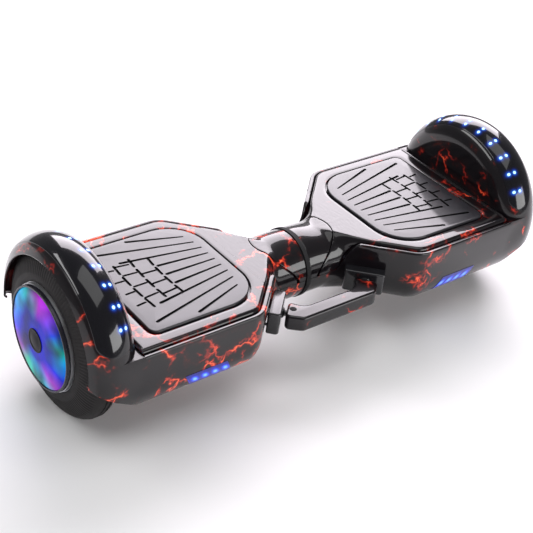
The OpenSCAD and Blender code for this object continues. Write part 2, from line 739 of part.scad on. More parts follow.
// Bracket screwed to the slanted wall, with its ball stud
module handle_bracket() color([0.05, 0.05, 0.055]) {
    difference() {
        on_slant(24, rim_out + seat, bracket_z0) translate([0, -bracket_t + seat, 0])
            cube([42, bracket_t - seat, bracket_z1 - bracket_z0]);
        for (p = bracket_hole)
            on_slant(p[0], 0, p[1]) rotate([90, 0, 0]) {
                cylinder(h = 60, r = bracket_screw_r + 0.2);
                translate([0, 0, rim_out + bracket_t - 3]) cylinder(h = 20, r = 3.4);
            }
    }
    ball_stud(ball_z);
}

module handle_plan() {
    y1 = -(deck_half_y + 2);
    y0 = y1 + grip_d;
    p = [slant_point(34, foot_off), slant_point(60, foot_off), [46, y1], [38, y0]];
    offset(r = 2.5) offset(delta = -2.5) polygon([
        p[3], p[0], p[1], p[2], [-p[2][0], y1], [-p[1][0], p[1][1]], [-p[0][0], p[0][1]], [-p[3][0], y0]]);
}

module carry_handle() color([0.07, 0.06, 0.065]) difference() {
    translate([0, 0, handle_z - grip_t / 2]) linear_extrude(grip_t) handle_plan();
    left() {
        on_slant(ball_s, ball_off, ball_z) sphere(bush_r + run);
        on_slant(ball_s, foot_off - 1, ball_z) rotate([90, 0, 0]) cylinder(h = 7, r = 5.6);
    }
    on_slant(ball_s, ball_off, ball_z) sphere(loose_r);
    on_slant(ball_s, foot_off - 1, ball_z) rotate([90, 0, 0]) cylinder(h = 7, r = 5.6);
}

// Rubber bush between the left ball and the handle
module handle_bush() color([0.12, 0.12, 0.12]) left() difference() {
    on_slant(ball_s, ball_off, ball_z) intersection() {
        sphere(bush_r);
        cube([20, 2 * bush_r - 4.4, 20], center = true);
    }
    on_slant(ball_s, ball_off, ball_z) sphere(ball_r + run);
    on_slant(ball_s, ball_off - 10, ball_z) rotate([90, 0, 0]) cylinder(h = 10, r = 3.6);
}

// ---------------------------------------------------------------- nodes

left() chassis(false);  // left_chassis
chassis(true);  // right_chassis
left() upper_shell();  // left_upper_shell
upper_shell();  // right_upper_shell
left() lower_shell(true);  // left_lower_shell
lower_shell();  // right_lower_shell
left() waist_cover();  // left_waist_cover
waist_cover();  // right_waist_cover
left() foot_pad();  // left_foot_pad
foot_pad();  // right_foot_pad
left() sensor_board();  // left_sensor_board
sensor_board();  // right_sensor_board
left() fender_lens();  // left_fender_lens
fender_lens();  // right_fender_lens
left() fender_leds();  // left_fender_leds
fender_leds();  // right_fender_leds
left() headlight_lens();  // left_headlight_lens
headlight_lens();  // right_headlight_lens
left() headlight_leds();  // left_headlight_leds
headlight_leds();  // right_headlight_leds
left() axle();  // left_axle
axle();  // right_axle
left() axle_clamp();  // left_axle_clamp
axle_clamp();  // right_axle_clamp
left() clamp_bolts();  // left_clamp_bolts
clamp_bolts();  // right_clamp_bolts
left() screws();  // left_screws
screws();  // right_screws
left() tyre();  // left_tyre
tyre();  // right_tyre
left() rim();  // left_rim
rim();  // right_rim
left() magnets();  // left_magnets
magnets();  // right_magnets
left() stator();  // left_stator
stator();  // right_stator
left() hub_lens();  // left_hub_lens
hub_lens();  // right_hub_lens
left() hub_leds();  // left_hub_leds
hub_leds();  // right_hub_leds
left() motor_cover();  // left_motor_cover
motor_cover();  // right_motor_cover
left() bearings();  // left_bearings
bearings();  // right_bearings
left() handle_bracket();  // left_handle_bracket
handle_bracket();  // right_handle_bracket
pivot_tube();
pivot_bushes();
pivot_circlip();
limit_pin();
waist_ring();
wiring_loom();
battery_pack();
left() control_board();
left() power_button();
left() charge_socket();
left() charge_cap();
carry_handle();
handle_bush();
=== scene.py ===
"""Looks of the self-balancing board: smooth glossy shells with a crack print, grooved pads,
ribbed tyres and lamps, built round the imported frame. Lengths are in millimetres until mesh()."""
import math

import bmesh
import bpy
import numpy as np
from mathutils import Matrix, Vector


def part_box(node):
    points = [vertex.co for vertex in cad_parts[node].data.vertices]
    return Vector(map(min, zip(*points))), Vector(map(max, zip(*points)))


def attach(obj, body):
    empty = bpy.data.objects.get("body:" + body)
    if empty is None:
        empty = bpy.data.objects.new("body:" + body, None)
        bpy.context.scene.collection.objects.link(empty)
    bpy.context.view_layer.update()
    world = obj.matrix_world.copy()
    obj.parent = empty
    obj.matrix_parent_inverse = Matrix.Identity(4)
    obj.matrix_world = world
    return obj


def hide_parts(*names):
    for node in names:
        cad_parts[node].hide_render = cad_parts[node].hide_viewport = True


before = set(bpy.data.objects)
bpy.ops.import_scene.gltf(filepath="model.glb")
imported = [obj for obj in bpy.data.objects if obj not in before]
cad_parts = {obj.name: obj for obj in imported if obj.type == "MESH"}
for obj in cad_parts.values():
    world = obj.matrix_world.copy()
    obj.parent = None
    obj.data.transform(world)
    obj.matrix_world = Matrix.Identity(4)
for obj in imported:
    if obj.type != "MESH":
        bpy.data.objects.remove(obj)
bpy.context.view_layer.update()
MM = 0.001


def box_mm(node):
    low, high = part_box(node)
    return np.array(low) / MM, np.array(high) / MM


# Sizes measured on the right half of the frame
TYRE_LO, TYRE_HI = box_mm("right_tyre")
WHEEL_Z = (TYRE_LO[2] + TYRE_HI[2]) / 2
TYRE_R = (TYRE_HI[2] - TYRE_LO[2]) / 2
TYRE_X0, TYRE_X1 = TYRE_LO[0], TYRE_HI[0]
END_X = box_mm("right_hub_lens")[1][0]
HUB_R = box_mm("right_hub_lens")[1][1]
SHELL_LO, SHELL_HI = box_mm("right_lower_shell")
UPPER_HI = box_mm("right_upper_shell")[1]
BASE_Z, PARTING_Z = SHELL_LO[2], SHELL_HI[2]
FENDER_R = UPPER_HI[2] - WHEEL_Z
FENDER_X1 = UPPER_HI[0]
RING_LO, RING_HI = box_mm("waist_ring")
TWIST_Z = (RING_LO[2] + RING_HI[2]) / 2
NECK_R = RING_HI[1] - 1
PAD_LO, PAD_HI = box_mm("right_foot_pad")
PAD_TOP = PAD_HI[2]

# Sizes that no box gives, as in part.scad
WHEEL_BAY = 60
DECK_END = END_X - WHEEL_BAY
DECK_Z = PARTING_Z + 4.6
DECK_Y = 86.0
CORNER_R, CORNER_X = 22.0, 114.0
WAIST_X, WAIST_Y = 34.0, 17.0
NECK_X0 = 2.6
POCKET_Z = DECK_Z - 3.5
STRIP_X = END_X - 41
LAMP_X = (STRIP_X - 6.0, STRIP_X + 0.5)
LAMP_PAIRS = 10
LED_PITCH = math.radians(12.7)

_run = np.hypot(DECK_Y - CORNER_R - WAIST_Y, CORNER_X - WAIST_X)
SLANT = math.atan2(DECK_Y - CORNER_R - WAIST_Y, CORNER_X - WAIST_X) + math.asin(CORNER_R / _run)


# ------------------------------------------------------------------ mesh helpers

def mesh(name, verts, faces, material, body, replaces=(), sharp=40, mirror=False):
    """A piece from millimetre points. mirror turns the right-hand piece into the left one."""
    verts = [(-x, y, z) if mirror else (x, y, z) for x, y, z in verts]
    data = bpy.data.meshes.new(name)
    data.from_pydata([(x * MM, y * MM, z * MM) for x, y, z in verts], [], faces)
    return dress(name, data, material, body, replaces, sharp)


def dress(name, data, material, body, replaces=(), sharp=40):
    """Turns mesh data into a smooth-shaded piece that rides on a body."""
    bm = bmesh.new()
    bm.from_mesh(data)
    bmesh.ops.remove_doubles(bm, verts=bm.verts, dist=0.00002)
    bmesh.ops.recalc_face_normals(bm, faces=bm.faces)
    bm.to_mesh(data)
    bm.free()
    data.shade_smooth()
    data.set_sharp_from_angle(angle=math.radians(sharp))
    piece = bpy.data.objects.new(name, data)
    bpy.context.scene.collection.objects.link(piece)
    data.materials.append(material)
    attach(piece, body)
    if replaces:
        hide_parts(*replaces)
    return piece


class Sheet:
    """Collects grids of points into one mesh."""

    def __init__(self):
        self.verts, self.faces = [], []

    def grid(self, rows, closed=False):
        width = len(rows[0])
        base = len(self.verts)
        for row in rows:
            self.verts.extend(tuple(p) for p in row)
        for r in range(len(rows) - 1):
            for c in range(width if closed else width - 1):
                d = (c + 1) % width
                self.faces.append((base + r * width + c, base + r * width + d,
                                   base + (r + 1) * width + d, base + (r + 1) * width + c))

    def make(self, name, material, body, replaces=(), sharp=40, mirror=False):
        return mesh(name, self.verts, self.faces, material, body, replaces, sharp, mirror)


def turned(sheet, profile, angles):
    """Turns [radius, x] points round the axle. Angle 0 is up and grows towards the front."""
    sheet.grid([[(x, -r * math.sin(a), WHEEL_Z + r * math.cos(a)) for r, x in profile] for a in angles])


def span(a, b, n):
    return list(np.linspace(a, b, n))


# ------------------------------------------------------------------ materials


class Nodes:
    """Short names for building a material's node tree."""

    def __init__(self, name):
        self.mat = bpy.data.materials.new(name)
        self.mat.use_nodes = True
        self.tree = self.mat.node_tree
        self.shader = self.tree.nodes["Principled BSDF"]

    def add(self, kind, **values):
        node = self.tree.nodes.new("ShaderNode" + kind)
        for key, value in values.items():
            if hasattr(node, key):
                setattr(node, key, value)
            else:
                node.inputs[key.replace("_", " ")].default_value = value
        return node

    def link(self, a, b):
        self.tree.links.new(a, b)

    def math(self, op, a, b=None):
        node = self.add("Math", operation=op)
        for k, v in enumerate((a, b)):
            if v is None:
                continue
            if isinstance(v, (int, float)):
                node.inputs[k].default_value = v
            else:
                self.link(v, node.inputs[k])
        return node.outputs[0]

    def ramp(self, source, stops):
        node = self.add("ValToRGB")
        while len(node.color_ramp.elements) < len(stops):
            node.color_ramp.elements.new(0.5)
        for element, (place, colour) in zip(node.color_ramp.elements, stops):
            element.position = place
            element.color = (*colour, 1)
        self.link(source, node.inputs["Fac"])
        return node.outputs["Color"]

    def noise(self, vector, scale, detail=3.0, rough=0.5):
        node = self.add("TexNoise", Scale=scale, Detail=detail, Roughness=rough)
        self.link(vector, node.inputs["Vector"])
        return node

    def coords(self):
        return self.add("TexCoord").outputs["Object"]

    def set(self, **values):
        for key, value in values.items():
            self.shader.inputs[key.replace("_", " ")].default_value = value

    def bump(self, height, distance, strength=1.0):
        node = self.add("Bump", Distance=distance, Strength=strength)
        self.link(height, node.inputs["Height"])
        self.link(node.outputs["Normal"], self.shader.inputs["Normal"])

    def mix(self, factor, a, b):
        node = self.add("Mix", data_type="RGBA")
        for socket, value in ((node.inputs[0], factor), (node.inputs[6], a), (node.inputs[7], b)):
            if isinstance(value, (int, float)):
                socket.default_value = value
            elif isinstance(value, tuple):
                socket.default_value = (*value, 1)
            else:
                self.link(value, socket)
        return node.outputs[2]


# Lamp glow, in millimetres: radius, and the headlight spots' first place, pitch, height and lean
GLOW_R = 4.0
SPOT_X, SPOT_PITCH, SPOT_Z, SPOT_LEAN = 110.5, 11.5, 57.5, 0.53


def crack_print_with_painted_glow(name, amount):
    """Glossy black with thick branching red-orange printed cracks, soft at their sides, under a clear coat;
    the cracks also give off a faint painted glow.
    """
    n = Nodes(name)
    where = n.coords()
    bend = n.noise(where, 22, 4, 0.65)
    shift = n.add("VectorMath", operation="SCALE")
    n.link(bend.outputs["Color"], shift.inputs[0])
    shift.inputs["Scale"].default_value = 0.045
    warped = n.add("VectorMath", operation="ADD")
    n.link(where, warped.inputs[0])
    n.link(shift.outputs[0], warped.inputs[1])
    glow = None
    for scale, width, soft in ((15.0, 0.05, 2.2), (33.0, 0.075, 1.5)):
        cells = n.add("TexVoronoi", feature="DISTANCE_TO_EDGE", Scale=scale)
        n.link(warped.outputs[0], cells.inputs["Vector"])
        near = n.math("MULTIPLY", cells.outputs["Distance"], 1 / width)
        line = n.math("EXPONENT", n.math("MULTIPLY", n.math("POWER", near, 1.3), -soft))
        patch = n.noise(where, scale * 0.9, 3, 0.6).outputs["Fac"]
        gate = n.math("MULTIPLY", n.math("MAXIMUM", n.math("SUBTRACT", patch, 0.60 - amount), 0.0), 7.0)
        part = n.math("MULTIPLY", line, n.math("MINIMUM", gate, 1.0))
        glow = part if glow is None else n.math("MAXIMUM", glow, part)
    colour = n.ramp(glow, [(0.0, (0.004, 0.003, 0.004)), (0.2, (0.02, 0.003, 0.003)),
                           (0.5, (0.20, 0.012, 0.008)), (0.8, (0.62, 0.05, 0.02)),
                           (1.0, (0.85, 0.14, 0.05))])
    n.link(colour, n.shader.inputs["Base Color"])
    # The crack colour also drives a faint emission: a painted glow, since the printed cracks are no lamp.
    n.link(colour, n.shader.inputs["Emission Color"])
    n.set(Emission_Strength=0.25, Roughness=0.3, Coat_Weight=1.0, Coat_Roughness=0.03, Coat_IOR=1.4)
    n.set(Specular_IOR_Level=0.1)
    n.bump(n.noise(where, 14, 2, 0.5).outputs["Fac"], 0.0003, 0.2)
    return n.mat


def plastic(name, colour, rough, grain=0.0, scale=900, coat=0.0, metal=0.0, wear=0.25):
    """Moulded plastic, rubber or metal with slight tone variation and a fine grain."""
    n = Nodes(name)
    where = n.coords()
    tone = n.noise(where, 35, 5, 0.6).outputs["Fac"]
    light = tuple(min(1.0, c * (1 + wear)) for c in colour)
    dark = tuple(c * (1 - wear) for c in colour)
    n.link(n.ramp(tone, [(0.3, dark), (0.7, light)]), n.shader.inputs["Base Color"])
    fine = n.noise(where, scale, 3, 0.6).outputs["Fac"]
    shine = n.add("MapRange", To_Min=max(0.02, rough - 0.06), To_Max=rough + 0.08)
    n.link(n.noise(where, 60, 4, 0.6).outputs["Fac"], shine.inputs["Value"])
    n.link(shine.outputs[0], n.shader.inputs["Roughness"])
    n.set(Metallic=metal, Coat_Weight=coat, Coat_Roughness=0.08, Coat_IOR=1.42)
    n.set(Specular_IOR_Level=0.5 if metal else 0.22)
    if grain:
        n.bump(fine, grain * MM, 0.6)
    return n.mat


def axle_angle(n, where):
    """Angle round the axle in turns, radius and place along the axle, as node outputs."""
    parts = n.add("SeparateXYZ")
    n.link(where, parts.inputs[0])
    up = n.math("SUBTRACT", parts.outputs["Z"], WHEEL_Z * MM)
    angle = n.math("DIVIDE", n.math("ARCTAN2", parts.outputs["Y"], up), 2 * math.pi)
    radius = n.math("SQRT", n.math("ADD", n.math("MULTIPLY", up, up),
                                   n.math("MULTIPLY", parts.outputs["Y"], parts.outputs["Y"])))
    return angle, radius, parts.outputs["X"]


def glow_spot(n, along, across, weight=1.0):
    """1 in a lamp's middle and 0 a few millimetres away, from two distances to that middle."""
    aside = n.math("MULTIPLY", across, across)
    if weight != 1.0:
        aside = n.math("MULTIPLY", aside, weight)
    square = n.math("ADD", n.math("MULTIPLY", along, along), aside)
    return n.math("EXPONENT", n.math("MULTIPLY", square, -1 / (GLOW_R * MM) ** 2))


def nearest(n, step, pitch):
    """Distance to the nearest whole step, in metres."""
    return n.math("MULTIPLY", n.math("SUBTRACT", step, n.math("ROUND", step)), pitch)


def tyre_rubber():
    """Matt black rubber with a little dust."""
    n = Nodes("tyre_rubber")
    where = n.coords()
    dust = n.noise(where, 55, 5, 0.65).outputs["Fac"]
    n.link(n.ramp(dust, [(0.3, (0.007, 0.006, 0.006)), (0.75, (0.018, 0.016, 0.016))]),
           n.shader.inputs["Base Color"])
    n.set(Roughness=0.6, Specular_IOR_Level=0.25)
    height = n.noise(where, 700, 3, 0.6).outputs["Fac"]
    n.bump(height, 0.0002, 0.5)
    return n.mat


def hub_glow():
    """Clear lens over coloured lamps: spots of colour round the rim over a deep blue middle."""
    n = Nodes("hub_glow")
    where = n.coords()
    angle, radius, _ = axle_angle(n, where)
    cloud = n.noise(where, 30, 1, 0.5).outputs["Fac"]
    turn = n.math("FRACT", n.math("ADD", angle, n.math("MULTIPLY", n.math("SUBTRACT", cloud, 0.5), 0.10)))
    hue = n.ramp(turn, [(0.0, (0.50, 0.02, 0.70)), (0.07, (0.0, 0.55, 0.60)), (0.2, (0.0, 0.30, 0.95)),
                        (0.27, (0.0, 0.02, 0.95)), (0.36, (0.42, 0.02, 0.60)), (0.45, (0.0, 0.50, 0.30)),
                        (0.53, (0.0, 0.60, 0.80)), (0.62, (0.45, 0.05, 0.70)), (0.70, (0.0, 0.02, 0.90)),
                        (0.80, (0.0, 0.60, 0.50)), (0.88, (0.0, 0.06, 1.0)), (1.0, (0.50, 0.02, 0.70))])
    rim = n.add("MapRange", From_Min=0.024, From_Max=0.040)
    ragged = n.math("MULTIPLY", n.math("SUBTRACT", cloud, 0.5), 0.03)
    n.link(n.math("ADD", radius, ragged), rim.inputs["Value"])
    colour = n.mix(rim.outputs[0], (0.0, 0.004, 0.50), hue)
    patchy = n.add("MapRange", From_Min=0.35, From_Max=0.62, To_Min=0.25, To_Max=1.2)
    n.link(n.noise(where, 38, 1, 0.5).outputs["Fac"], patchy.inputs["Value"])
    n.link(colour, n.shader.inputs["Emission Color"])
    n.link(n.math("MULTIPLY", patchy.outputs[0], 0.85), n.shader.inputs["Emission Strength"])
    n.link(n.mix(0.02, (0.001, 0.001, 0.008), hue), n.shader.inputs["Base Color"])
    n.set(Roughness=0.3, Coat_Weight=0.2, Coat_Roughness=0.06, Coat_IOR=1.35, Specular_IOR_Level=0.05)
    n.bump(n.noise(where, 260, 2, 0.5).outputs["Fac"], 0.0003, 0.35)
    return n.mat


def lamp(name, colour, strength):
    """A lit lamp, a little uneven."""
    n = Nodes(name)
    centre = n.noise(n.coords(), 300, 2, 0.5).outputs["Fac"]
    n.link(n.ramp(centre, [(0.3, tuple(c * 0.8 for c in colour)), (0.7, colour)]),
           n.shader.inputs["Emission Color"])
    n.set(Base_Color=(*colour, 1), Emission_Strength=strength, Roughness=0.2)
    return n.mat


def strip_lens():
    """Dark glossy band whose lamps glow blue through it."""
    n = Nodes("strip_lens")
    where = n.coords()
    angle, _, place = axle_angle(n, where)
    step = n.math("SUBTRACT", n.math("DIVIDE", n.math("MULTIPLY", angle, 2 * math.pi), LED_PITCH), 0.5)
    along = nearest(n, step, LED_PITCH * FENDER_R * MM)
    middle, half_gap = sum(LAMP_X) / 2 * MM, (LAMP_X[1] - LAMP_X[0]) / 2 * MM
    off_middle = n.math("SUBTRACT", n.math("ABSOLUTE", place), middle)
    across = n.math("SUBTRACT", n.math("ABSOLUTE", off_middle), half_gap)
    halo = glow_spot(n, along, across)
    n.link(n.ramp(halo, [(0.0, (0.0, 0.0, 0.02)), (0.35, (0.0, 0.02, 0.30)), (0.75, (0.01, 0.14, 0.9)),
                         (1.0, (0.25, 0.55, 1.0))]), n.shader.inputs["Emission Color"])
    lit = n.math("LESS_THAN", n.math("ABSOLUTE", n.math("ADD", step, 0.5)), LAMP_PAIRS / 2)
    n.link(n.math("MULTIPLY", halo, n.math("MULTIPLY", lit, 0.9)), n.shader.inputs["Emission Strength"])
    n.set(Base_Color=(0.004, 0.004, 0.006, 1), Roughness=0.2, Specular_IOR_Level=0.1)
    n.set(Coat_Weight=1.0, Coat_Roughness=0.04, Coat_IOR=1.42)
    return n.mat


def headlight():
    """Deep blue window with a row of leaning lamp spots."""
    n = Nodes("headlight_glow")
    parts = n.add("SeparateXYZ")
    n.link(n.coords(), parts.inputs[0])
    x, z = n.math("ABSOLUTE", parts.outputs["X"]), parts.outputs["Z"]
    lean = n.math("SUBTRACT", x, n.math("MULTIPLY", z, SPOT_LEAN))
    step = n.math("DIVIDE", n.math("SUBTRACT", lean, SPOT_X * MM), SPOT_PITCH * MM)
    along = nearest(n, step, SPOT_PITCH * MM)
    halo = glow_spot(n, along, n.math("SUBTRACT", z, SPOT_Z * MM), 0.8)
    n.link(n.ramp(halo, [(0.0, (0.0, 0.0, 0.38)), (0.45, (0.0, 0.03, 0.85)), (1.0, (0.14, 0.40, 1.0))]),
           n.shader.inputs["Emission Color"])
    n.link(n.math("ADD", n.math("MULTIPLY", halo, 1.3), 0.5), n.shader.inputs["Emission Strength"])
    n.set(Base_Color=(0.003, 0.005, 0.05, 1), Roughness=0.15, Coat_Weight=0.5)
    return n.mat


# Crack print for each side, whose cracks carry a faint painted glow.
PRINT_WITH_PAINTED_GLOW = {"left": crack_print_with_painted_glow("crack_print_left", 0.15), "right": crack_print_with_painted_glow("crack_print_right", 0.07)}
PAD = plastic("pad_rubber", (0.02, 0.02, 0.024), 0.4, 0.05, 1400, coat=0.62)
# Darker, matt, uncoated copy of the pad rubber for the grooves: painted shade in the recesses.
GROOVE_SHADE = plastic("groove_painted_shade", (0.008, 0.008, 0.009), 0.6, 0.05)
BLACK = plastic("black_plastic", (0.008, 0.008, 0.009), 0.4, 0.04)
GLOSS = plastic("black_gloss", (0.012, 0.012, 0.014), 0.2, 0.0, coat=0.8)
RUBBER = plastic("soft_rubber", (0.015, 0.015, 0.016), 0.7, 0.08)
STEEL = plastic("turned_steel", (0.55, 0.55, 0.56), 0.28, 0.02, 1500, metal=1.0, wear=0.1)
DARK_STEEL = plastic("black_oxide", (0.06, 0.06, 0.065), 0.4, 0.02, 1500, metal=1.0)
ALUMINIUM = plastic("cast_aluminium", (0.62, 0.63, 0.65), 0.45, 0.12, 500, metal=1.0, wear=0.1)
COPPER = plastic("copper_windings", (0.5, 0.2, 0.08), 0.35, 0.1, 400, metal=0.9)
BRONZE = plastic("sintered_bronze", (0.6, 0.42, 0.18), 0.4, 0.06, 700, metal=1.0)
BOARD = plastic("circuit_board", (0.01, 0.13, 0.06), 0.35, 0.03, 800, coat=0.3)
WRAP = plastic("battery_wrap", (0.02, 0.09, 0.42), 0.25, 0.1, 120, coat=0.4)
LAMP = lamp("lamp_white_blue", (0.36, 0.68, 1.0), 1.5)
TRIM = plastic("satin_trim", (0.02, 0.02, 0.03), 0.25, 0.0, metal=0.3)
CAP = plastic("hub_cap_black", (0.001, 0.001, 0.005), 0.5)
TYRE = tyre_rubber()
HUB = hub_glow()
STRIP = strip_lens()
HEADLIGHT = headlight()


# ------------------------------------------------------------------ shells

TAN, SIN, COS = math.tan(SLANT), math.sin(SLANT), math.cos(SLANT)
NECK_END = 75.0
EDGE_ROLL, WAIST_ROLL = 4.0, 11
SKIRT_Z = DECK_Z - 9.5
RIM_Z = DECK_Z - 2.4
NECK_BLEND = 14.0
COVER_X, COVER_Y = 47, 37.5

# (height, how far the side stands outside the deck), from the rim down to the flat bottom
HULL = [(RIM_Z - 0.1, 3.9), (RIM_Z, 4.6), (RIM_Z - 0.25, 5.3), (RIM_Z - 1.1, 6.0), (102.5, 6.2), (92, 6.1),
        (80, 6.0), (68, 5.7), (62, 5.1), (56, 3.6), (50.5, 1.0), (46, -3.0), (42, -8.0), (38.6, -14.5),
        (36, -22), (34.6, -30), (34.05, -38), (34.0, -46)]
HULL_Z = [z for z, g in HULL][::-1]
HULL_G = [g for z, g in HULL][::-1]
RIM_LIP = [(RIM_Z - 7, 1.2), (RIM_Z - 1.4, 1.2), (RIM_Z - 0.6, 1.7), (RIM_Z - 0.2, 2.8)]


def slant_point(along, off):
    """Plan point along the right front slanted wall and off outside it."""
    return (WAIST_X + along * COS - off * SIN, -(WAIST_Y + along * SIN + off * COS))


def smooth(t):
    """An even step from 0 to 1 as t goes from 0 to 1."""
    t = np.clip(t, 0.0, 1.0)
    return t * t * (3 - 2 * t)


def slant_y(x, g):
    """Half depth of the deck at x beside the waist, with the wall grown by g."""
    return WAIST_Y + (x - WAIST_X) * TAN + g / COS


def front_edge(g, end):
    """Front edge of the plan grown by g, from the neck along the slanted side to the wheel end."""
    n_slant, n_arc, n_side = 10, 16, 30
    r = CORNER_R + g
    if r > 1:
        a0 = 1.5 * math.pi - SLANT
        arc = [(CORNER_X + r * math.cos(a), CORNER_R - DECK_Y + r * math.sin(a))
               for a in span(a0, 1.5 * math.pi, n_arc)]
    else:
        x = WAIST_X + (DECK_Y + g - WAIST_Y - g / COS) / TAN
        arc = [(x, -(DECK_Y + g))] * n_arc
    start = (NECK_END, -slant_y(NECK_END, g))
    first = [(start[0] + (arc[0][0] - start[0]) * t, start[1] + (arc[0][1] - start[1]) * t)
             for t in span(0, 1, n_slant)[:-1]]
    return first + arc + [(x, -(DECK_Y + g)) for x in span(arc[-1][0], end, n_side)[1:]]


def whole_edge(g, end):
    """Front edge, across the waist side and back along the rear edge."""
    front = front_edge(g, end)
    return front[::-1] + [(x, -y) for x, y in front]


def pad_edge(g):
    """Half outline of the pad grown by g, from its outer end round the front to the inner end."""
    inner, outer = 40.0, 9.0
    hy = PAD_HI[1]
    path = [(PAD_HI[0] + g, 0.0)]
    for a in span(0, -90, 8):
        path.append((PAD_HI[0] - outer + (outer + g) * math.cos(math.radians(a)),
                     -(hy - outer) + (outer + g) * math.sin(math.radians(a))))
    for a in span(-90, -180, 22):
        path.append((PAD_LO[0] + inner + (inner + g) * math.cos(math.radians(a)),
                     -(hy - inner) + (inner + g) * math.sin(math.radians(a))))
    path.append((PAD_LO[0] - g, 0.0))
    return np.array(path)


def meets(path, centre, target):
    """Where the ray from centre through target crosses a path."""
    u = np.array(target) - centre
    u /= np.linalg.norm(u)
    best = None
    for p, q in zip(path[:-1], path[1:]):
        d = q - p
        det = u[0] * -d[1] + u[1] * d[0]
        if abs(det) < 1e-9:
            continue
        w = p - centre
        k = (w[0] * -d[1] + w[1] * d[0]) / det
        t = (u[0] * w[1] - u[1] * w[0]) / det
        if k > 0 and -1e-6 <= t <= 1 + 1e-6 and (best is None or k > best):
            best = k
    return centre + u * best


def deck_plate(s):
    """Flat top round the pad's pocket, the rolled edge and the skirt."""
    end = DECK_END - 0.4
    centre = np.array([(PAD_LO[0] + PAD_HI[0]) / 2, 0.0])
    edge = front_edge(-EDGE_ROLL, end)[::-1]
    outer = [(end, y) for y in span(0, edge[0][1], 12)[:-1]] + edge
    outer += [(NECK_END, y) for y in span(edge[-1][1], 0, 16)[1:]]
    levels = [(1.1, POCKET_Z - 2.0), (1.2, DECK_Z - 1.0), (1.5, DECK_Z - 0.3), (2.2, DECK_Z)]
    loops = [[(*meets(pad_edge(g), centre, p), z) for p in outer] for g, z in levels]
    rim = loops[-1]
    for t in (0.33, 0.66, 1.0):
        loops.append([(x + (p[0] - x) * t, y + (p[1] - y) * t, DECK_Z)
                      for (x, y, z), p in zip(rim, outer)])
    pocket = [[(centre[0] + (x - centre[0]) * k, y * k, POCKET_Z - 2.0) for x, y, z in loops[0]]
              for k in (0.02, 0.5, 1)]
    rolled = []
    for a in span(0, math.pi / 2, 8):
        drop = EDGE_ROLL * (1 - math.cos(a))
        rolled.append([(x, y, DECK_Z - drop) for x, y in front_edge(EDGE_ROLL * (math.sin(a) - 1), end)])
    rolled.append([(x, y, SKIRT_Z) for x, y, z in rolled[-1]])
    for flip in (1, -1):
        for rows in (pocket, loops, rolled):
            s.grid([[(x, flip * y, z) for x, y, z in row] for row in rows])
    # Bead across the deck's outer end, in front of the fender, sunk at both ends
    bead = [(end - 3.4, -0.1), (end - 2.8, 0.7), (end - 1.9, 1.1), (end - 0.9, 1.1), (end, 0.7)]
    side = DECK_Y - EDGE_ROLL
    ends = [(-side, 0.0), (2.5 - side, 1.0), (side - 2.5, 1.0), (side, 0.0)]
    s.grid([[(x, y, DECK_Z - 0.1 + lift * tall) for x, lift in bead] for y, tall in ends])


def section(x, phi, upper):
    """Radius of the body round the twist axis at x, in direction phi from the front upwards."""
    up = max(0.0, math.sin(phi)) ** 4
    neck = NECK_R - 3 * smooth((x - 42) / 18) - 9 * smooth((x - 56) / 19)
    neck -= 2.3 * up * smooth((x - 8) / 32)
    k = np.linspace(4, 150, 1461)
    y, z = k * abs(math.cos(phi)), TWIST_Z + k * math.sin(phi)
    if upper:
        roll = edge_roll(x)
        lift = np.clip(z - (DECK_Z - roll), 0, roll)
        wide = slant_y(x, 0) - roll + np.sqrt(np.maximum(roll ** 2 - lift ** 2, 0))
        inside = (z <= DECK_Z) & (y <= wide)
    else:
        wide = slant_y(x, np.interp(z, HULL_Z, HULL_G))
        inside = (z >= BASE_Z) & (z <= RIM_Z + 0.3) & (y <= wide)
    outside = np.argmin(inside)
    deck = 0.0 if outside == 0 else k[outside]
    blend = NECK_BLEND * (1 - 0.97 * up)
    h = max(blend - abs(neck - deck), 0.0) / blend
    return max(neck, deck) + h * h * blend / 4


def edge_roll(x):
    """Rounding of the deck's edge, which grows towards the waist."""
    return EDGE_ROLL + WAIST_ROLL * (1 - float(smooth((x - WAIST_X) / 36)))


def on_section(x, phi, upper, sink=0.0):
    """Point of the body at x in direction phi, sunk below its skin."""
    r = section(x, phi, upper) - sink
    return (x, -r * math.cos(phi), TWIST_Z + r * math.sin(phi))


def upper_angles(x):
    """Directions from the parting line up to the top, which follow the deck's rolled edge."""
    n_side, n_roll, n_top = 12, 9, 18
    wide, edge = max(slant_y(x, 0), WAIST_Y), edge_roll(x)
    low = math.atan2((SKIRT_Z - TWIST_Z) * descent(x) + 0.3, max(wide, NECK_R - 4))
    roll = [math.atan2(DECK_Z - edge - TWIST_Z + edge * math.sin(a), wide - edge + edge * math.cos(a))
            for a in span(0, math.pi / 2, n_roll)]
    low = min(low, roll[0] - 0.02)
    return span(low, roll[0], n_side)[:-1] + roll + span(roll[-1], math.pi / 2, n_top)[1:]


def descent(x):
    """How far the parting line has climbed from the waist's middle to the deck's edge."""
    return float(smooth((x - WAIST_X) / 24))


def seam_x(phi, gap):
    """Where the oval waist cover ends in direction phi, with the oval grown by gap."""
    y = (NECK_R + 0.2) * math.cos(phi)
    return (COVER_X + gap) * math.sqrt(max(0.0, 1 - (y / (COVER_Y + gap)) ** 2))


def neck_top(s):
    """Shoulder between the deck and the round waist, outside the oval cover."""
    count = len(upper_angles(60))
    for flip in (1, -1):
        rows = []
        for j in range(count):
            x = 40.0
            for _ in range(6):
                x = max(seam_x(upper_angles(x)[j], 0.5), NECK_X0 + 1)
            row = [on_section(x + dx, upper_angles(x)[j], True, sink)
                   for dx, sink in ((0, 3.0), (0.05, 0.7), (0.35, 0.12))]
            for t in span(0.02, 1, 30):
                xt = x + (NECK_END - x) * t
                row.append(on_section(xt, upper_angles(xt)[j], True))
            rows.append([(x, flip * y, z) for x, y, z in row])
        rows.insert(0, [(x, y * 0.9, z - 0.4) for x, y, z in rows[0]])
        s.grid(rows)


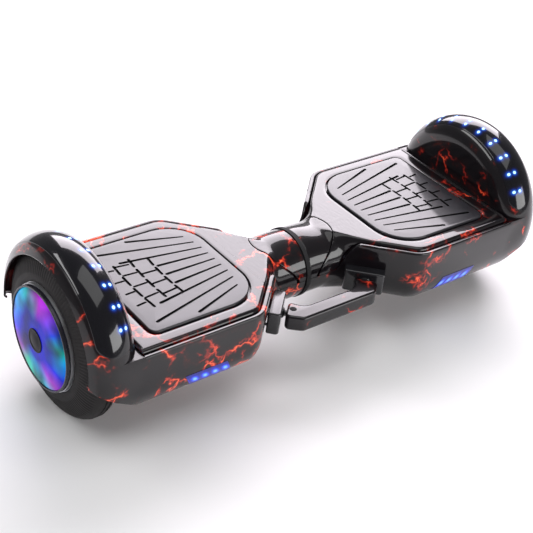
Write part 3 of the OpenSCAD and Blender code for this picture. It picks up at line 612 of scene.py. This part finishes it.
def upper_shell(side):
    """Deck plate, fender and neck in one glossy piece."""
    s = Sheet()
    deck_plate(s)
    fender(s)
    neck_top(s)
    s.make(f"{side}_upper_shell_looks", PRINT_WITH_PAINTED_GLOW[side], f"{side}_half", (f"{side}_upper_shell",), 40,
           side == "left")


def waist_cover(side):
    """Oval cover over the top of the waist."""
    s = Sheet()
    rows = []
    for phi in span(0.012, math.pi - 0.012, 61):
        front = min(phi, math.pi - phi)
        far = max(seam_x(front, -0.2), NECK_X0 + 2)
        places = [(NECK_X0, 3.5), (NECK_X0, 0.9), (NECK_X0 + 0.3, 0.25), (NECK_X0 + 0.9, 0)]
        places += [(x, 0) for x in span(NECK_X0 + 1.2, far - 0.5, 26)]
        places += [(far - 0.15, 0.15), (far, 0.7), (far, 3.0)]
        row = []
        for x, sink in places:
            px, py, pz = on_section(x, front, True, sink)
            row.append((px, py if phi < math.pi / 2 else -py, pz))
        rows.append(row)
    s.grid(rows)
    s.make(f"{side}_waist_cover_looks", PRINT_WITH_PAINTED_GLOW[side], f"{side}_half", (f"{side}_waist_cover",), 40,
           side == "left")


def neck_under(s):
    """Lower half of the waist, blended into the slanted sides, with the rim along its top."""
    columns = [NECK_X0, NECK_X0 + 0.25, NECK_X0 + 0.9] + span(5, NECK_END, 44)
    for flip in (1, -1):
        skin, lip = [], []
        for x in columns:
            f = descent(x)
            target = (RIM_Z - TWIST_Z - 0.1) * f - 0.1
            angles = np.linspace(0, math.radians(60), 240)
            crest = -0.004
            if f > 0:
                heights = np.array([section(x, a, False) * math.sin(a) for a in angles])
                crest = float(angles[np.argmax(heights >= target)])
            sink = {NECK_X0: 0.9, NECK_X0 + 0.25: 0.25}.get(x, 0.0)
            row = [on_section(x, a, False, sink) for a in span(crest, -math.pi / 2, 64)]
            tx, ty, tz = row[0]
            inward = 3.2 * f + 0.6
            lip.append([(tx, ty, tz), (tx + 0.4 * f, ty + inward * 0.45, tz + 0.15 * f),
                        (tx + 0.8 * f, ty + inward, tz - 0.8), (tx + 0.8 * f, ty + inward, tz - 5)])
            skin.append(row)
        for rows in (skin, lip):
            s.grid([[(x, flip * y, z) for x, y, z in row] for row in rows])


def lower_shell(side):
    """Rim, sides, bottom and end wall of the lower shell, and its half of the waist."""
    s = Sheet()
    end = DECK_END + 0.5
    rows = [[(x, y, z) for x, y in whole_edge(g, end)] for z, g in RIM_LIP + HULL]
    half = len(rows[0]) // 2
    for part in (slice(0, half), slice(half, None)):
        s.grid([row[part] for row in rows])
    last = rows[-1]
    s.grid([[last[k], last[len(last) - 1 - k]] for k in range(half)])
    s.grid([[row[0] for row in rows], [(end, 0, row[0][2]) for row in rows], [row[-1] for row in rows]])
    neck_under(s)
    s.make(f"{side}_lower_shell_looks", PRINT_WITH_PAINTED_GLOW[side], f"{side}_half", (f"{side}_lower_shell",), 40,
           side == "left")
    wing(side)


# Fender: a round arch whose outer side has a soft crease above the lip
CROWN_X = FENDER_X1 - 28.0
CROWN_R = 30.0
INNER_R = 25
CREASE = math.radians(52)
CREASE_R = FENDER_R - CROWN_R + CROWN_R * math.sin(CREASE)
CREASE_X = CROWN_X + CROWN_R * math.cos(CREASE)
WING_LIFT, WING_RISE = 14, 39


def crown(x):
    """Outer radius of the fender at x."""
    if x < CROWN_X:
        t = (CROWN_X - x) / (CROWN_X - DECK_END + 0.2)
        return FENDER_R - INNER_R + INNER_R * math.sqrt(max(0.0, 1 - t * t))
    return FENDER_R - CROWN_R + math.sqrt(CROWN_R ** 2 - (x - CROWN_X) ** 2)


def fender_flange():
    """(x, radius) from the crease over the flange to the lip."""
    steps = ((0.9, 0.9), (2.0, 1.6), (4, 2.7), (7.5, 4.4), (8.8, 5.0), (9.4, 4.8), (9.7, 4.0), (9.0, 2.6))
    return [(CREASE_X + dx, CREASE_R - dr) for dr, dx in steps]


def fender_profile():
    """[radius, x] round the fender: inner wall, crown, crease, flange, lip and inside."""
    x0 = DECK_END - 0.2
    points = [(20, x0), (FENDER_R - 40, x0)]
    for a in span(180, 90, 18):
        ra = math.radians(a)
        points.append((FENDER_R - INNER_R + INNER_R * math.sin(ra),
                       CROWN_X + (CROWN_X - x0) * math.cos(ra)))
    for a in span(math.pi / 2, CREASE, 12)[1:]:
        points.append((FENDER_R - CROWN_R + CROWN_R * math.sin(a), CROWN_X + CROWN_R * math.cos(a)))
    points += [(r, x) for x, r in fender_flange()]
    points += [(CREASE_R - 6, CREASE_X + 1.2), (CREASE_R - 2.9, CREASE_X - 3), (FENDER_R - 6, CROWN_X),
               (FENDER_R - 7, DECK_END + 12), (FENDER_R - 14, DECK_END + 4), (FENDER_R - 24, DECK_END + 2)]
    return points


def fender(s):
    reach = math.acos((RIM_Z - 2.0 - WHEEL_Z) / FENDER_R)
    turned(s, fender_profile(), span(-reach, reach, 121))


def wing_low(x):
    """Lower edge of the wing, which rises towards the wheel's outer side."""
    return BASE_Z + WING_LIFT + (x - DECK_END) * WING_RISE / WHEEL_BAY


def wing(side):
    """The side wall carried on round the wheel as the fender's foot, front and rear."""
    s = Sheet()
    n_inner = 16
    xs = span(DECK_END, CROWN_X, n_inner) + span(CROWN_X, CREASE_X, 9)[1:]
    crest = [(x, crown(x)) for x in xs] + fender_flange()
    top = RIM_Z - 0.25
    for flip in (1, -1):
        skin = []
        for x, r in crest:
            column = []
            share = float(smooth((x - DECK_END) / (CROWN_X - DECK_END)))
            for t in span(0, 1, 26):
                z = top + (wing_low(x) - top) * t
                hull = DECK_Y + np.interp(z, HULL_Z, HULL_G)
                full = FENDER_R if x < CROWN_X else r
                bow = math.sqrt(full ** 2 - (z - WHEEL_Z) ** 2)
                column.append((x, -(hull + (bow - hull) * share), z))
            x, y, z = column[-1]
            column += [(x, y + dy, z + dz) for dy, dz in ((0.7, -0.35), (2.4, -0.2), (2.8, 3))]
            skin.append(column)
        ledge = []
        for column in skin[:n_inner]:
            x, y, z = column[0]
            inner = -math.sqrt(max(crown(x), 60) ** 2 - (z - WHEEL_Z) ** 2) + 1.0
            ledge.append([(x, y, z), (x, y + 0.5, z + 0.22), (x, y + 1.2, z + 0.2),
                          (x, min(y + 2.0, inner), z - 0.3), (x, min(y + 2.6, inner), z - 1.0),
                          (x, inner, z - 1.2)])
        for rows in (skin, ledge):
            s.grid([[(x, flip * y, z) for x, y, z in row] for row in rows])
    s.make(f"{side}_wheel_arch", PRINT_WITH_PAINTED_GLOW[side], f"{side}_half", (), 40, side == "left")


# ------------------------------------------------------------------ pads

def bar(s, a, b, wide_a, wide_b, z0, z1):
    """A round-ended, tapered bar from a to b, closed."""
    a, b = np.array(a, float), np.array(b, float)
    u = (b - a) / np.linalg.norm(b - a)
    turn = math.atan2(u[1], u[0])
    ring = []
    for end, wide, t0, t1 in ((b, wide_b, -0.5, 0.5), (a, wide_a, 0.5, 1.5)):
        for t in span(t0, t1, 6):
            way = turn + t * math.pi
            ring.append((end[0] + wide / 2 * math.cos(way), end[1] + wide / 2 * math.sin(way)))
    base, n = len(s.verts), len(ring)
    s.verts += [(x, y, z0) for x, y in ring] + [(x, y, z1) for x, y in ring]
    s.faces += [tuple(range(base, base + n))[::-1], tuple(range(base + n, base + 2 * n))]
    s.faces += [(base + k, base + (k + 1) % n, base + n + (k + 1) % n, base + n + k) for k in range(n)]


def ray_y(i, x):
    """Depth of ray number i at x: the rays fan out towards the wheel."""
    return i * (11.0 + (x - PAD_LO[0] - 11) * 0.08)


def pad_bars():
    """Groove lines of the pad: two plan points and the width at each."""
    x0 = PAD_LO[0] + 11
    lines = []

    def ray(i, near, far, thin=1.9, thick=3.3):
        lines.append(((near, ray_y(i, near)), (far, ray_y(i, far)), thin, thick))

    for i in range(-3, 4):
        ray(i, x0 + (2 if abs(i) == 3 else 0), PAD_LO[0] + (66, 66, 96, 114)[abs(i)])
    for sgn in (-1, 1):
        ray(4.02 * sgn, x0 + 6, PAD_LO[0] + 72)
    # Short grooves and staggered cross dashes towards the wheel
    for near, far, shifts in ((70, 86, (-1.45, -0.4, 0.65)), (90, 104, (-1.2, -0.15, 0.9, 1.75)),
                              (108, 117, (-1.5, -0.5, 0.5, 1.5))):
        for i in shifts:
            ray(i, PAD_LO[0] + near, PAD_LO[0] + far, 2.4, 2.6)
    for dx, starts in ((70, (-1.95, -0.9, 0.15, 1.2)), (88, (-1.7, -0.65, 0.4, 1.45)),
                       (106, (-2.0, -1.0, 0.05, 1.1))):
        x = PAD_LO[0] + dx
        for i in starts:
            ends = [(x - 0.5 * abs(t) ** 2, ray_y(t, x)) for t in (i, i + 0.72)]
            lines.append((*ends, 2.9, 2.9))
    return lines


def foot_pad(side):
    """Rubber mat with a rolled edge and cut grooves, whose walls and floors are painted darker as shade."""
    mirror = side == "left"
    s = Sheet()
    thick, roll, groove = 3.4, 1.6, 2.2
    levels = [(PAD_TOP - thick, -1.0), (PAD_TOP - roll, -0.9)]
    levels += [(PAD_TOP - roll + roll * math.sin(a), -0.9 - roll * (1 - math.cos(a)))
               for a in span(0.2, math.pi / 2, 6)]
    rows = []
    for z, g in levels:
        path = pad_edge(g)
        loop = [tuple(p) for p in path] + [(x, -y) for x, y in path[::-1][1:-1]]
        rows.append([(x, y, z) for x, y in loop])
    s.grid(rows, closed=True)
    n = len(rows[0])
    s.faces.append(tuple(range(n)))
    s.faces.append(tuple(len(s.verts) - n + k for k in range(n)))
    piece = s.make(f"{side}_foot_pad_looks", PAD, f"{side}_pad", (f"{side}_foot_pad",), 30, mirror)
    piece.data.materials.append(GROOVE_SHADE)
    cut = Sheet()
    for a, b, wide_a, wide_b in pad_bars():
        bar(cut, a, b, wide_a, wide_b, PAD_TOP - groove, PAD_TOP + 2)
    verts = [((-x if mirror else x) * MM, y * MM, z * MM) for x, y, z in cut.verts]
    data = bpy.data.meshes.new("cutter")
    data.from_pydata(verts, [], cut.faces)
    bm = bmesh.new()
    bm.from_mesh(data)
    bmesh.ops.recalc_face_normals(bm, faces=bm.faces)
    bm.to_mesh(data)
    bm.free()
    data.materials.append(PAD)
    data.materials.append(GROOVE_SHADE)
    # Every face of the cutter takes the darker groove material, so the grooves' walls and floors carry
    # painted shade.
    for poly in data.polygons:
        poly.material_index = 1
    cutter = bpy.data.objects.new("cutter", data)
    bpy.context.scene.collection.objects.link(cutter)
    boolean = piece.modifiers.new("grooves", "BOOLEAN")
    boolean.operation = "DIFFERENCE"
    boolean.solver = "EXACT"
    boolean.use_self = True
    boolean.material_mode = "TRANSFER"
    boolean.object = cutter
    bpy.context.view_layer.update()
    evaluated = piece.evaluated_get(bpy.context.evaluated_depsgraph_get())
    result = bpy.data.meshes.new_from_object(evaluated)
    piece.modifiers.clear()
    piece.data = result
    bpy.data.objects.remove(cutter)
    result.set_sharp_from_angle(angle=math.radians(30))


# ------------------------------------------------------------------ wheels

TYRE_RIBS = 120
SHOULDER_R = 38
RIB_HEIGHT = 0.32


def tyre(side):
    """Round tyre with fine ribs on both sides and two grooves round its tread."""
    s = Sheet()
    mid = (TYRE_X0 + TYRE_X1) / 2
    half = [(HUB_R + 1.0, 6.0, 0), (HUB_R + 1.6, 3.6, 0), (HUB_R + 3.5, 2.8, 0)]
    for a in span(math.asin(10.5 / SHOULDER_R), 1.36, 22):
        ribbed = 1.0 if 0.42 < a < 1.0 else 0.0
        inset = 2.2 + (mid - TYRE_X0 - 4) * (1 - math.cos(a))
        half.append((TYRE_R - SHOULDER_R + SHOULDER_R * math.sin(a), inset, ribbed))
    profile = [(r, TYRE_X0 + d, -rib) for r, d, rib in half]
    profile += [(TYRE_R - drop, mid + dx, 0)
                for dx, drop in ((-3.4, 0), (-3.0, 1.1), (-1.4, 1.1), (-1.0, 0), (1.0, 0), (1.4, 1.1),
                                 (3.0, 1.1), (3.4, 0))]
    profile += [(r, TYRE_X1 - d, rib) for r, d, rib in half[::-1]]
    rows = []
    steps = TYRE_RIBS * 4
    for k in range(steps + 1):
        a = 2 * math.pi * k / steps
        lift = (0.0, RIB_HEIGHT, RIB_HEIGHT, 0.0)[k % 4] - RIB_HEIGHT
        rows.append([(x + lift * (1 if rib > 0 else -1) * abs(rib), -(r + lift * abs(rib)) * math.sin(a),
                      WHEEL_Z + (r + lift * abs(rib)) * math.cos(a)) for r, x, rib in profile])
    s.grid(rows)
    s.make(f"{side}_tyre_looks", TYRE, f"{side}_wheel", (f"{side}_tyre",), 30, side == "left")


def hub_lens(side):
    """Domed clear lens with a dark rim round it and a dark cap in the middle."""
    glow_r, cap_r = HUB_R - 2.6, 11.5
    lens = [(glow_r, END_X - 7)]
    for a in span(86, 14, 16):
        ra = math.radians(a)
        lens.append((cap_r + (glow_r - cap_r) * math.sin(ra), END_X - 6.2 + 4.6 * math.cos(ra)))
    lens.append((cap_r - 0.2, END_X - 1.7))
    rim = [(HUB_R, TYRE_X1 - 1.5)]
    rim += [(HUB_R - dr, END_X - dx)
            for dr, dx in ((0, 5.4), (0.4, 4.8), (1.1, 4.6), (1.9, 4.8), (2.4, 5.6), (2.6, 7))]
    cap = [(cap_r - dr, END_X - dx)
           for dr, dx in ((-0.4, 3), (-0.4, 1.3), (0, 0.9), (1, 0.8), (1.8, 1.2), (2.4, 1.3), (5, 0.6))]
    cap.append((0.01, END_X))
    turns = span(0, 2 * math.pi, 145)
    for name, profile, material, nodes in (("hub_lens_looks", lens, HUB, (f"{side}_hub_lens",)),
                                           ("hub_trim", rim, TRIM, ()), ("hub_cap", cap, CAP, ())):
        s = Sheet()
        turned(s, profile, turns)
        s.make(f"{side}_{name}", material, f"{side}_wheel", nodes, 40, side == "left")


# ------------------------------------------------------------------ lamps

def strip(side):
    """Dark cover over the fender's crown with round ends, and the dome of each lamp."""
    s = Sheet()
    first, last, tip = DECK_END + 7.0, CREASE_X - 0.8, math.radians(71)
    middle, half = (first + last) / 2, (last - first) / 2
    # (share of the half width, height above the fender) across the band
    across = [(-1, -1.5), (-1, 0.1), (-0.985, 0.35)] + [(t, 0.45) for t in span(-0.96, 0.96, 26)]
    across += [(0.985, 0.35), (1, 0.1), (1, -1.5)]
    rows = []
    for a in [-tip * math.sin(t) for t in span(-math.pi / 2, math.pi / 2, 121)]:
        fade = max(0.0, abs(a) - (tip - 0.17)) / 0.17
        wide = half * math.sqrt(max(0.02, 1 - fade ** 2.5))
        row = []
        for t, lift in across:
            x = middle + wide * t
            r = crown(x) + lift
            row.append((x, -r * math.sin(a), WHEEL_Z + r * math.cos(a)))
        rows.append(row)
    s.grid(rows)
    s.make(f"{side}_fender_lens_looks", STRIP, f"{side}_half", (f"{side}_fender_lens",), 40, side == "left")
    domes = Sheet()
    for i in range(LAMP_PAIRS):
        a = (i - (LAMP_PAIRS - 1) / 2) * LED_PITCH
        for x in LAMP_X:
            rings = []
            for t, lift in ((1.7, 0.3), (1.5, 0.62), (0.9, 0.82), (0.1, 0.9)):
                ring = []
                for k in range(14):
                    p = 2 * math.pi * k / 14
                    b = a + t * math.cos(p) / FENDER_R
                    r = crown(x + t * math.sin(p)) + lift
                    ring.append((x + t * math.sin(p), -r * math.sin(b), WHEEL_Z + r * math.cos(b)))
                rings.append(ring)
            domes.grid(rings, closed=True)
    domes.make(f"{side}_fender_lamps", LAMP, f"{side}_half", (f"{side}_fender_leds",), 60, side == "left")


def headlight_lens(side):
    """Leaning window that follows the front wall just outside it."""
    lo, hi = box_mm("right_headlight_lens")
    length, proud = 47, 0.35
    s = Sheet()
    rows = []
    for z in span(lo[2] - 3.5, hi[2] + 1, 14):
        g = np.interp(z, HULL_Z, HULL_G)
        lean = (z - lo[2]) / (hi[2] - lo[2]) * 8 + 1
        rows.append([(x + lean, -(DECK_Y + g + proud), z) for x in span(lo[0], lo[0] + length, 26)])
    s.grid(rows)
    s.make(f"{side}_headlight_looks", HEADLIGHT, f"{side}_half", (f"{side}_headlight_lens",), 40,
           side == "left")


# ------------------------------------------------------------------ handle

def rounded(points, radii):
    """Closed outline with each corner rounded by its own radius."""
    steps = 7
    out, n = [], len(points)
    for k in range(n):
        p, q, r = (np.array(points[(k + d) % n], float) for d in (-1, 0, 1))
        u, v = (p - q) / np.linalg.norm(p - q), (r - q) / np.linalg.norm(r - q)
        half = math.acos(np.clip(u @ v, -1, 1)) / 2
        centre = q + (u + v) / np.linalg.norm(u + v) * radii[k] / math.sin(half)
        a, b = q + u * radii[k] / math.tan(half), q + v * radii[k] / math.tan(half)
        a0, a1 = (math.atan2(*(w - centre)[::-1]) for w in (a, b))
        turn = (a1 - a0 + math.pi) % (2 * math.pi) - math.pi
        out += [tuple(centre + radii[k] * np.array((math.cos(a0 + turn * t), math.sin(a0 + turn * t))))
                for t in span(0, 1, steps)]
    return out


def slab(s, outline, z0, z1, roll):
    """A flat piece with rolled upper and lower edges."""
    pts = np.array(outline)
    nxt, prv = np.roll(pts, -1, 0), np.roll(pts, 1, 0)
    along = nxt - prv
    along /= np.maximum(np.linalg.norm(along, axis=1, keepdims=True), 1e-9)
    area = 0.5 * np.sum(pts[:, 0] * nxt[:, 1] - nxt[:, 0] * pts[:, 1])
    out = np.stack([along[:, 1], -along[:, 0]], 1) * (1 if area > 0 else -1)
    rows = []
    for edge, sign, first in ((z0, 1, -math.pi / 2), (z1, -1, 0)):
        for a in span(first, first + math.pi / 2, 6):
            z = edge + roll * (sign + math.sin(a))
            rows.append([(*(p - o * roll * (1 - math.cos(a))), z) for p, o in zip(pts, out)])
    base, n = len(s.verts), len(pts)
    s.grid(rows, closed=True)
    s.faces.append(tuple(range(base, base + n))[::-1])
    s.faces.append(tuple(range(base + (len(rows) - 1) * n, base + len(rows) * n)))


HANDLE_LO, HANDLE_HI = box_mm("carry_handle")
FOOT_OFF = 23.0
GRIP_WIDTH = 17
BRACKET_ALONG, BRACKET_OFF = (24, 66), (6.3, 19.0)
STUD_Z = 71


def handle():
    """Bent grip with feet that face the slanted walls."""
    y1, y0 = HANDLE_LO[1], HANDLE_LO[1] + GRIP_WIDTH
    a, b = slant_point(34, FOOT_OFF), slant_point(60, FOOT_OFF)
    half = [(34, y0), a, b, (46, y1)]
    radii = [16, 4.2, 5, 9]
    points = half + [(-x, y) for x, y in half[::-1]]
    s = Sheet()
    slab(s, rounded(points, radii + radii[::-1]), HANDLE_LO[2], HANDLE_HI[2], 3.0)
    s.make("carry_handle_looks", PRINT_WITH_PAINTED_GLOW["right"], "handle", ("carry_handle",), 40)


def bracket(side):
    """Block on the slanted wall with rolled edges, and the ball stud on it."""
    lo, hi = box_mm("right_handle_bracket")
    (near, far), (wall, face) = BRACKET_ALONG, BRACKET_OFF
    corners = [slant_point(near, wall), slant_point(far, wall),
               slant_point(far, face), slant_point(near, face)]
    s = Sheet()
    slab(s, rounded(corners, [1.8, 1.8, 3.5, 3.5]), lo[2], hi[2], 1.6)
    # Stud, collar and ball, turned about the wall's normal
    foot = Vector((*slant_point(46, face - 0.5), STUD_Z))
    out = Vector((-SIN, -COS, 0))
    across = Vector((COS, -SIN, 0))
    stud = [(5.5, 0), (5.5, 1.2), (4.6, 2.0), (3.0, 2.6), (2.8, 6.8)]
    stud += [(4.5 * math.cos(t), 10.5 + 4.5 * math.sin(t)) for t in span(-0.9, math.pi / 2 - 0.01, 10)]
    s.grid([[tuple(foot + out * d + (across * math.cos(t) + Vector((0, 0, 1)) * math.sin(t)) * r)
             for t in span(0, 2 * math.pi, 25)] for r, d in stud])
    s.make(f"{side}_handle_bracket_looks", GLOSS, f"{side}_half", (f"{side}_handle_bracket",), 40,
           side == "left")


# ------------------------------------------------------------------ build

for side in ("left", "right"):
    upper_shell(side)
    waist_cover(side)
    lower_shell(side)
    foot_pad(side)
    tyre(side)
    hub_lens(side)
    strip(side)
    headlight_lens(side)
    bracket(side)
handle()

CAD_LOOKS = {
    "chassis": ALUMINIUM, "sensor_board": BOARD, "headlight_leds": LAMP,
    "axle": STEEL, "axle_clamp": ALUMINIUM, "clamp_bolts": DARK_STEEL, "screws": DARK_STEEL,
    "rim": ALUMINIUM, "magnets": DARK_STEEL, "stator": COPPER, "hub_leds": LAMP,
    "motor_cover": ALUMINIUM, "bearings": STEEL, "pivot_tube": STEEL, "pivot_bushes": BRONZE,
    "pivot_circlip": DARK_STEEL, "limit_pin": STEEL, "waist_ring": RUBBER, "wiring_loom": RUBBER,
    "battery_pack": WRAP, "control_board": BOARD, "power_button": BLACK, "charge_socket": STEEL,
    "charge_cap": RUBBER, "handle_bush": RUBBER,
}
for node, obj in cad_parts.items():
    key = node.split("_", 1)[1] if node.split("_", 1)[0] in ("left", "right") else node
    if key in CAD_LOOKS:
        obj.data.materials.clear()
        obj.data.materials.append(CAD_LOOKS[key])


# ------------------------------------------------------------------ stage

def floor():
    """Plain pale floor."""
    s = Sheet()
    reach = 4000
    s.grid([[(x, y, 0) for x in span(-reach, reach, 3)] for y in span(-reach, reach, 3)])
    n = Nodes("pale_floor")
    tone = n.noise(n.coords(), 3, 2, 0.5).outputs["Fac"]
    n.link(n.ramp(tone, [(0.3, (0.88, 0.88, 0.88)), (0.7, (0.90, 0.90, 0.90))]),
           n.shader.inputs["Base Color"])
    n.set(Roughness=0.9)
    data = bpy.data.meshes.new("floor")
    data.from_pydata([(x * MM, y * MM, z * MM) for x, y, z in s.verts], [], s.faces)
    data.materials.append(n.mat)
    obj = bpy.data.objects.new("floor", data)
    bpy.context.scene.collection.objects.link(obj)


def softbox(name, place, target, size, watts, colour=(1, 1, 1)):
    """Rectangular area light at a place in metres, turned towards a target."""
    data = bpy.data.lights.new(name, "AREA")
    data.shape = "RECTANGLE"
    data.size, data.size_y = size
    data.energy = watts
    data.color = colour
    obj = bpy.data.objects.new(name, data)
    obj.location = place
    obj.rotation_euler = (Vector(target) - Vector(place)).to_track_quat("-Z", "Y").to_euler()
    bpy.context.scene.collection.objects.link(obj)


def camera():
    """Camera with the photo's place, turn and lens, as fitted to the photo."""
    azimuth, elevation, roll = (math.radians(v) for v in (-41.3, 34.5, 7.6))
    back = Vector((math.sin(azimuth) * math.cos(elevation), -math.cos(azimuth) * math.cos(elevation),
                   math.sin(elevation)))
    right = Vector((0, 0, 1)).cross(back).normalized()
    up = back.cross(right)
    c, s = math.cos(roll), math.sin(roll)
    axes = Matrix((c * right + s * up, -s * right + c * up, back)).transposed()
    data = bpy.data.cameras.new("camera")
    data.sensor_width = 36.0
    data.lens = 1206 / 533 * data.sensor_width
    data.shift_x, data.shift_y = 0.016, 0.002
    obj = bpy.data.objects.new("camera", data)
    obj.matrix_world = Matrix.Translation((-0.703, -0.757, 0.773)) @ axes.to_4x4()
    bpy.context.scene.collection.objects.link(obj)
    bpy.context.scene.camera = obj


floor()
bpy.context.scene.view_settings.view_transform = "Standard"
world = bpy.data.worlds.new("studio")
world.use_nodes = True
world.node_tree.nodes["Background"].inputs["Color"].default_value = (0.95, 0.93, 0.97, 1)
world.node_tree.nodes["Background"].inputs["Strength"].default_value = 0.22
bpy.context.scene.world = world
softbox("back_sheet", (1.9, 2.2, 2.0), (0, 0, 0.1), (3.6, 2.2), 205, (1.0, 0.93, 1.0))
softbox("left_strip", (-1.9, 1.0, 2.4), (0, 0, 0.1), (3.0, 0.45), 30)
softbox("front_card", (0.8, -2.1, 0.66), (0, 0, 0.1), (1.7, 0.8), 28)
softbox("top_fill", (0.2, -0.6, 3.2), (0, 0, 0), (2.4, 2.4), 34)
camera()
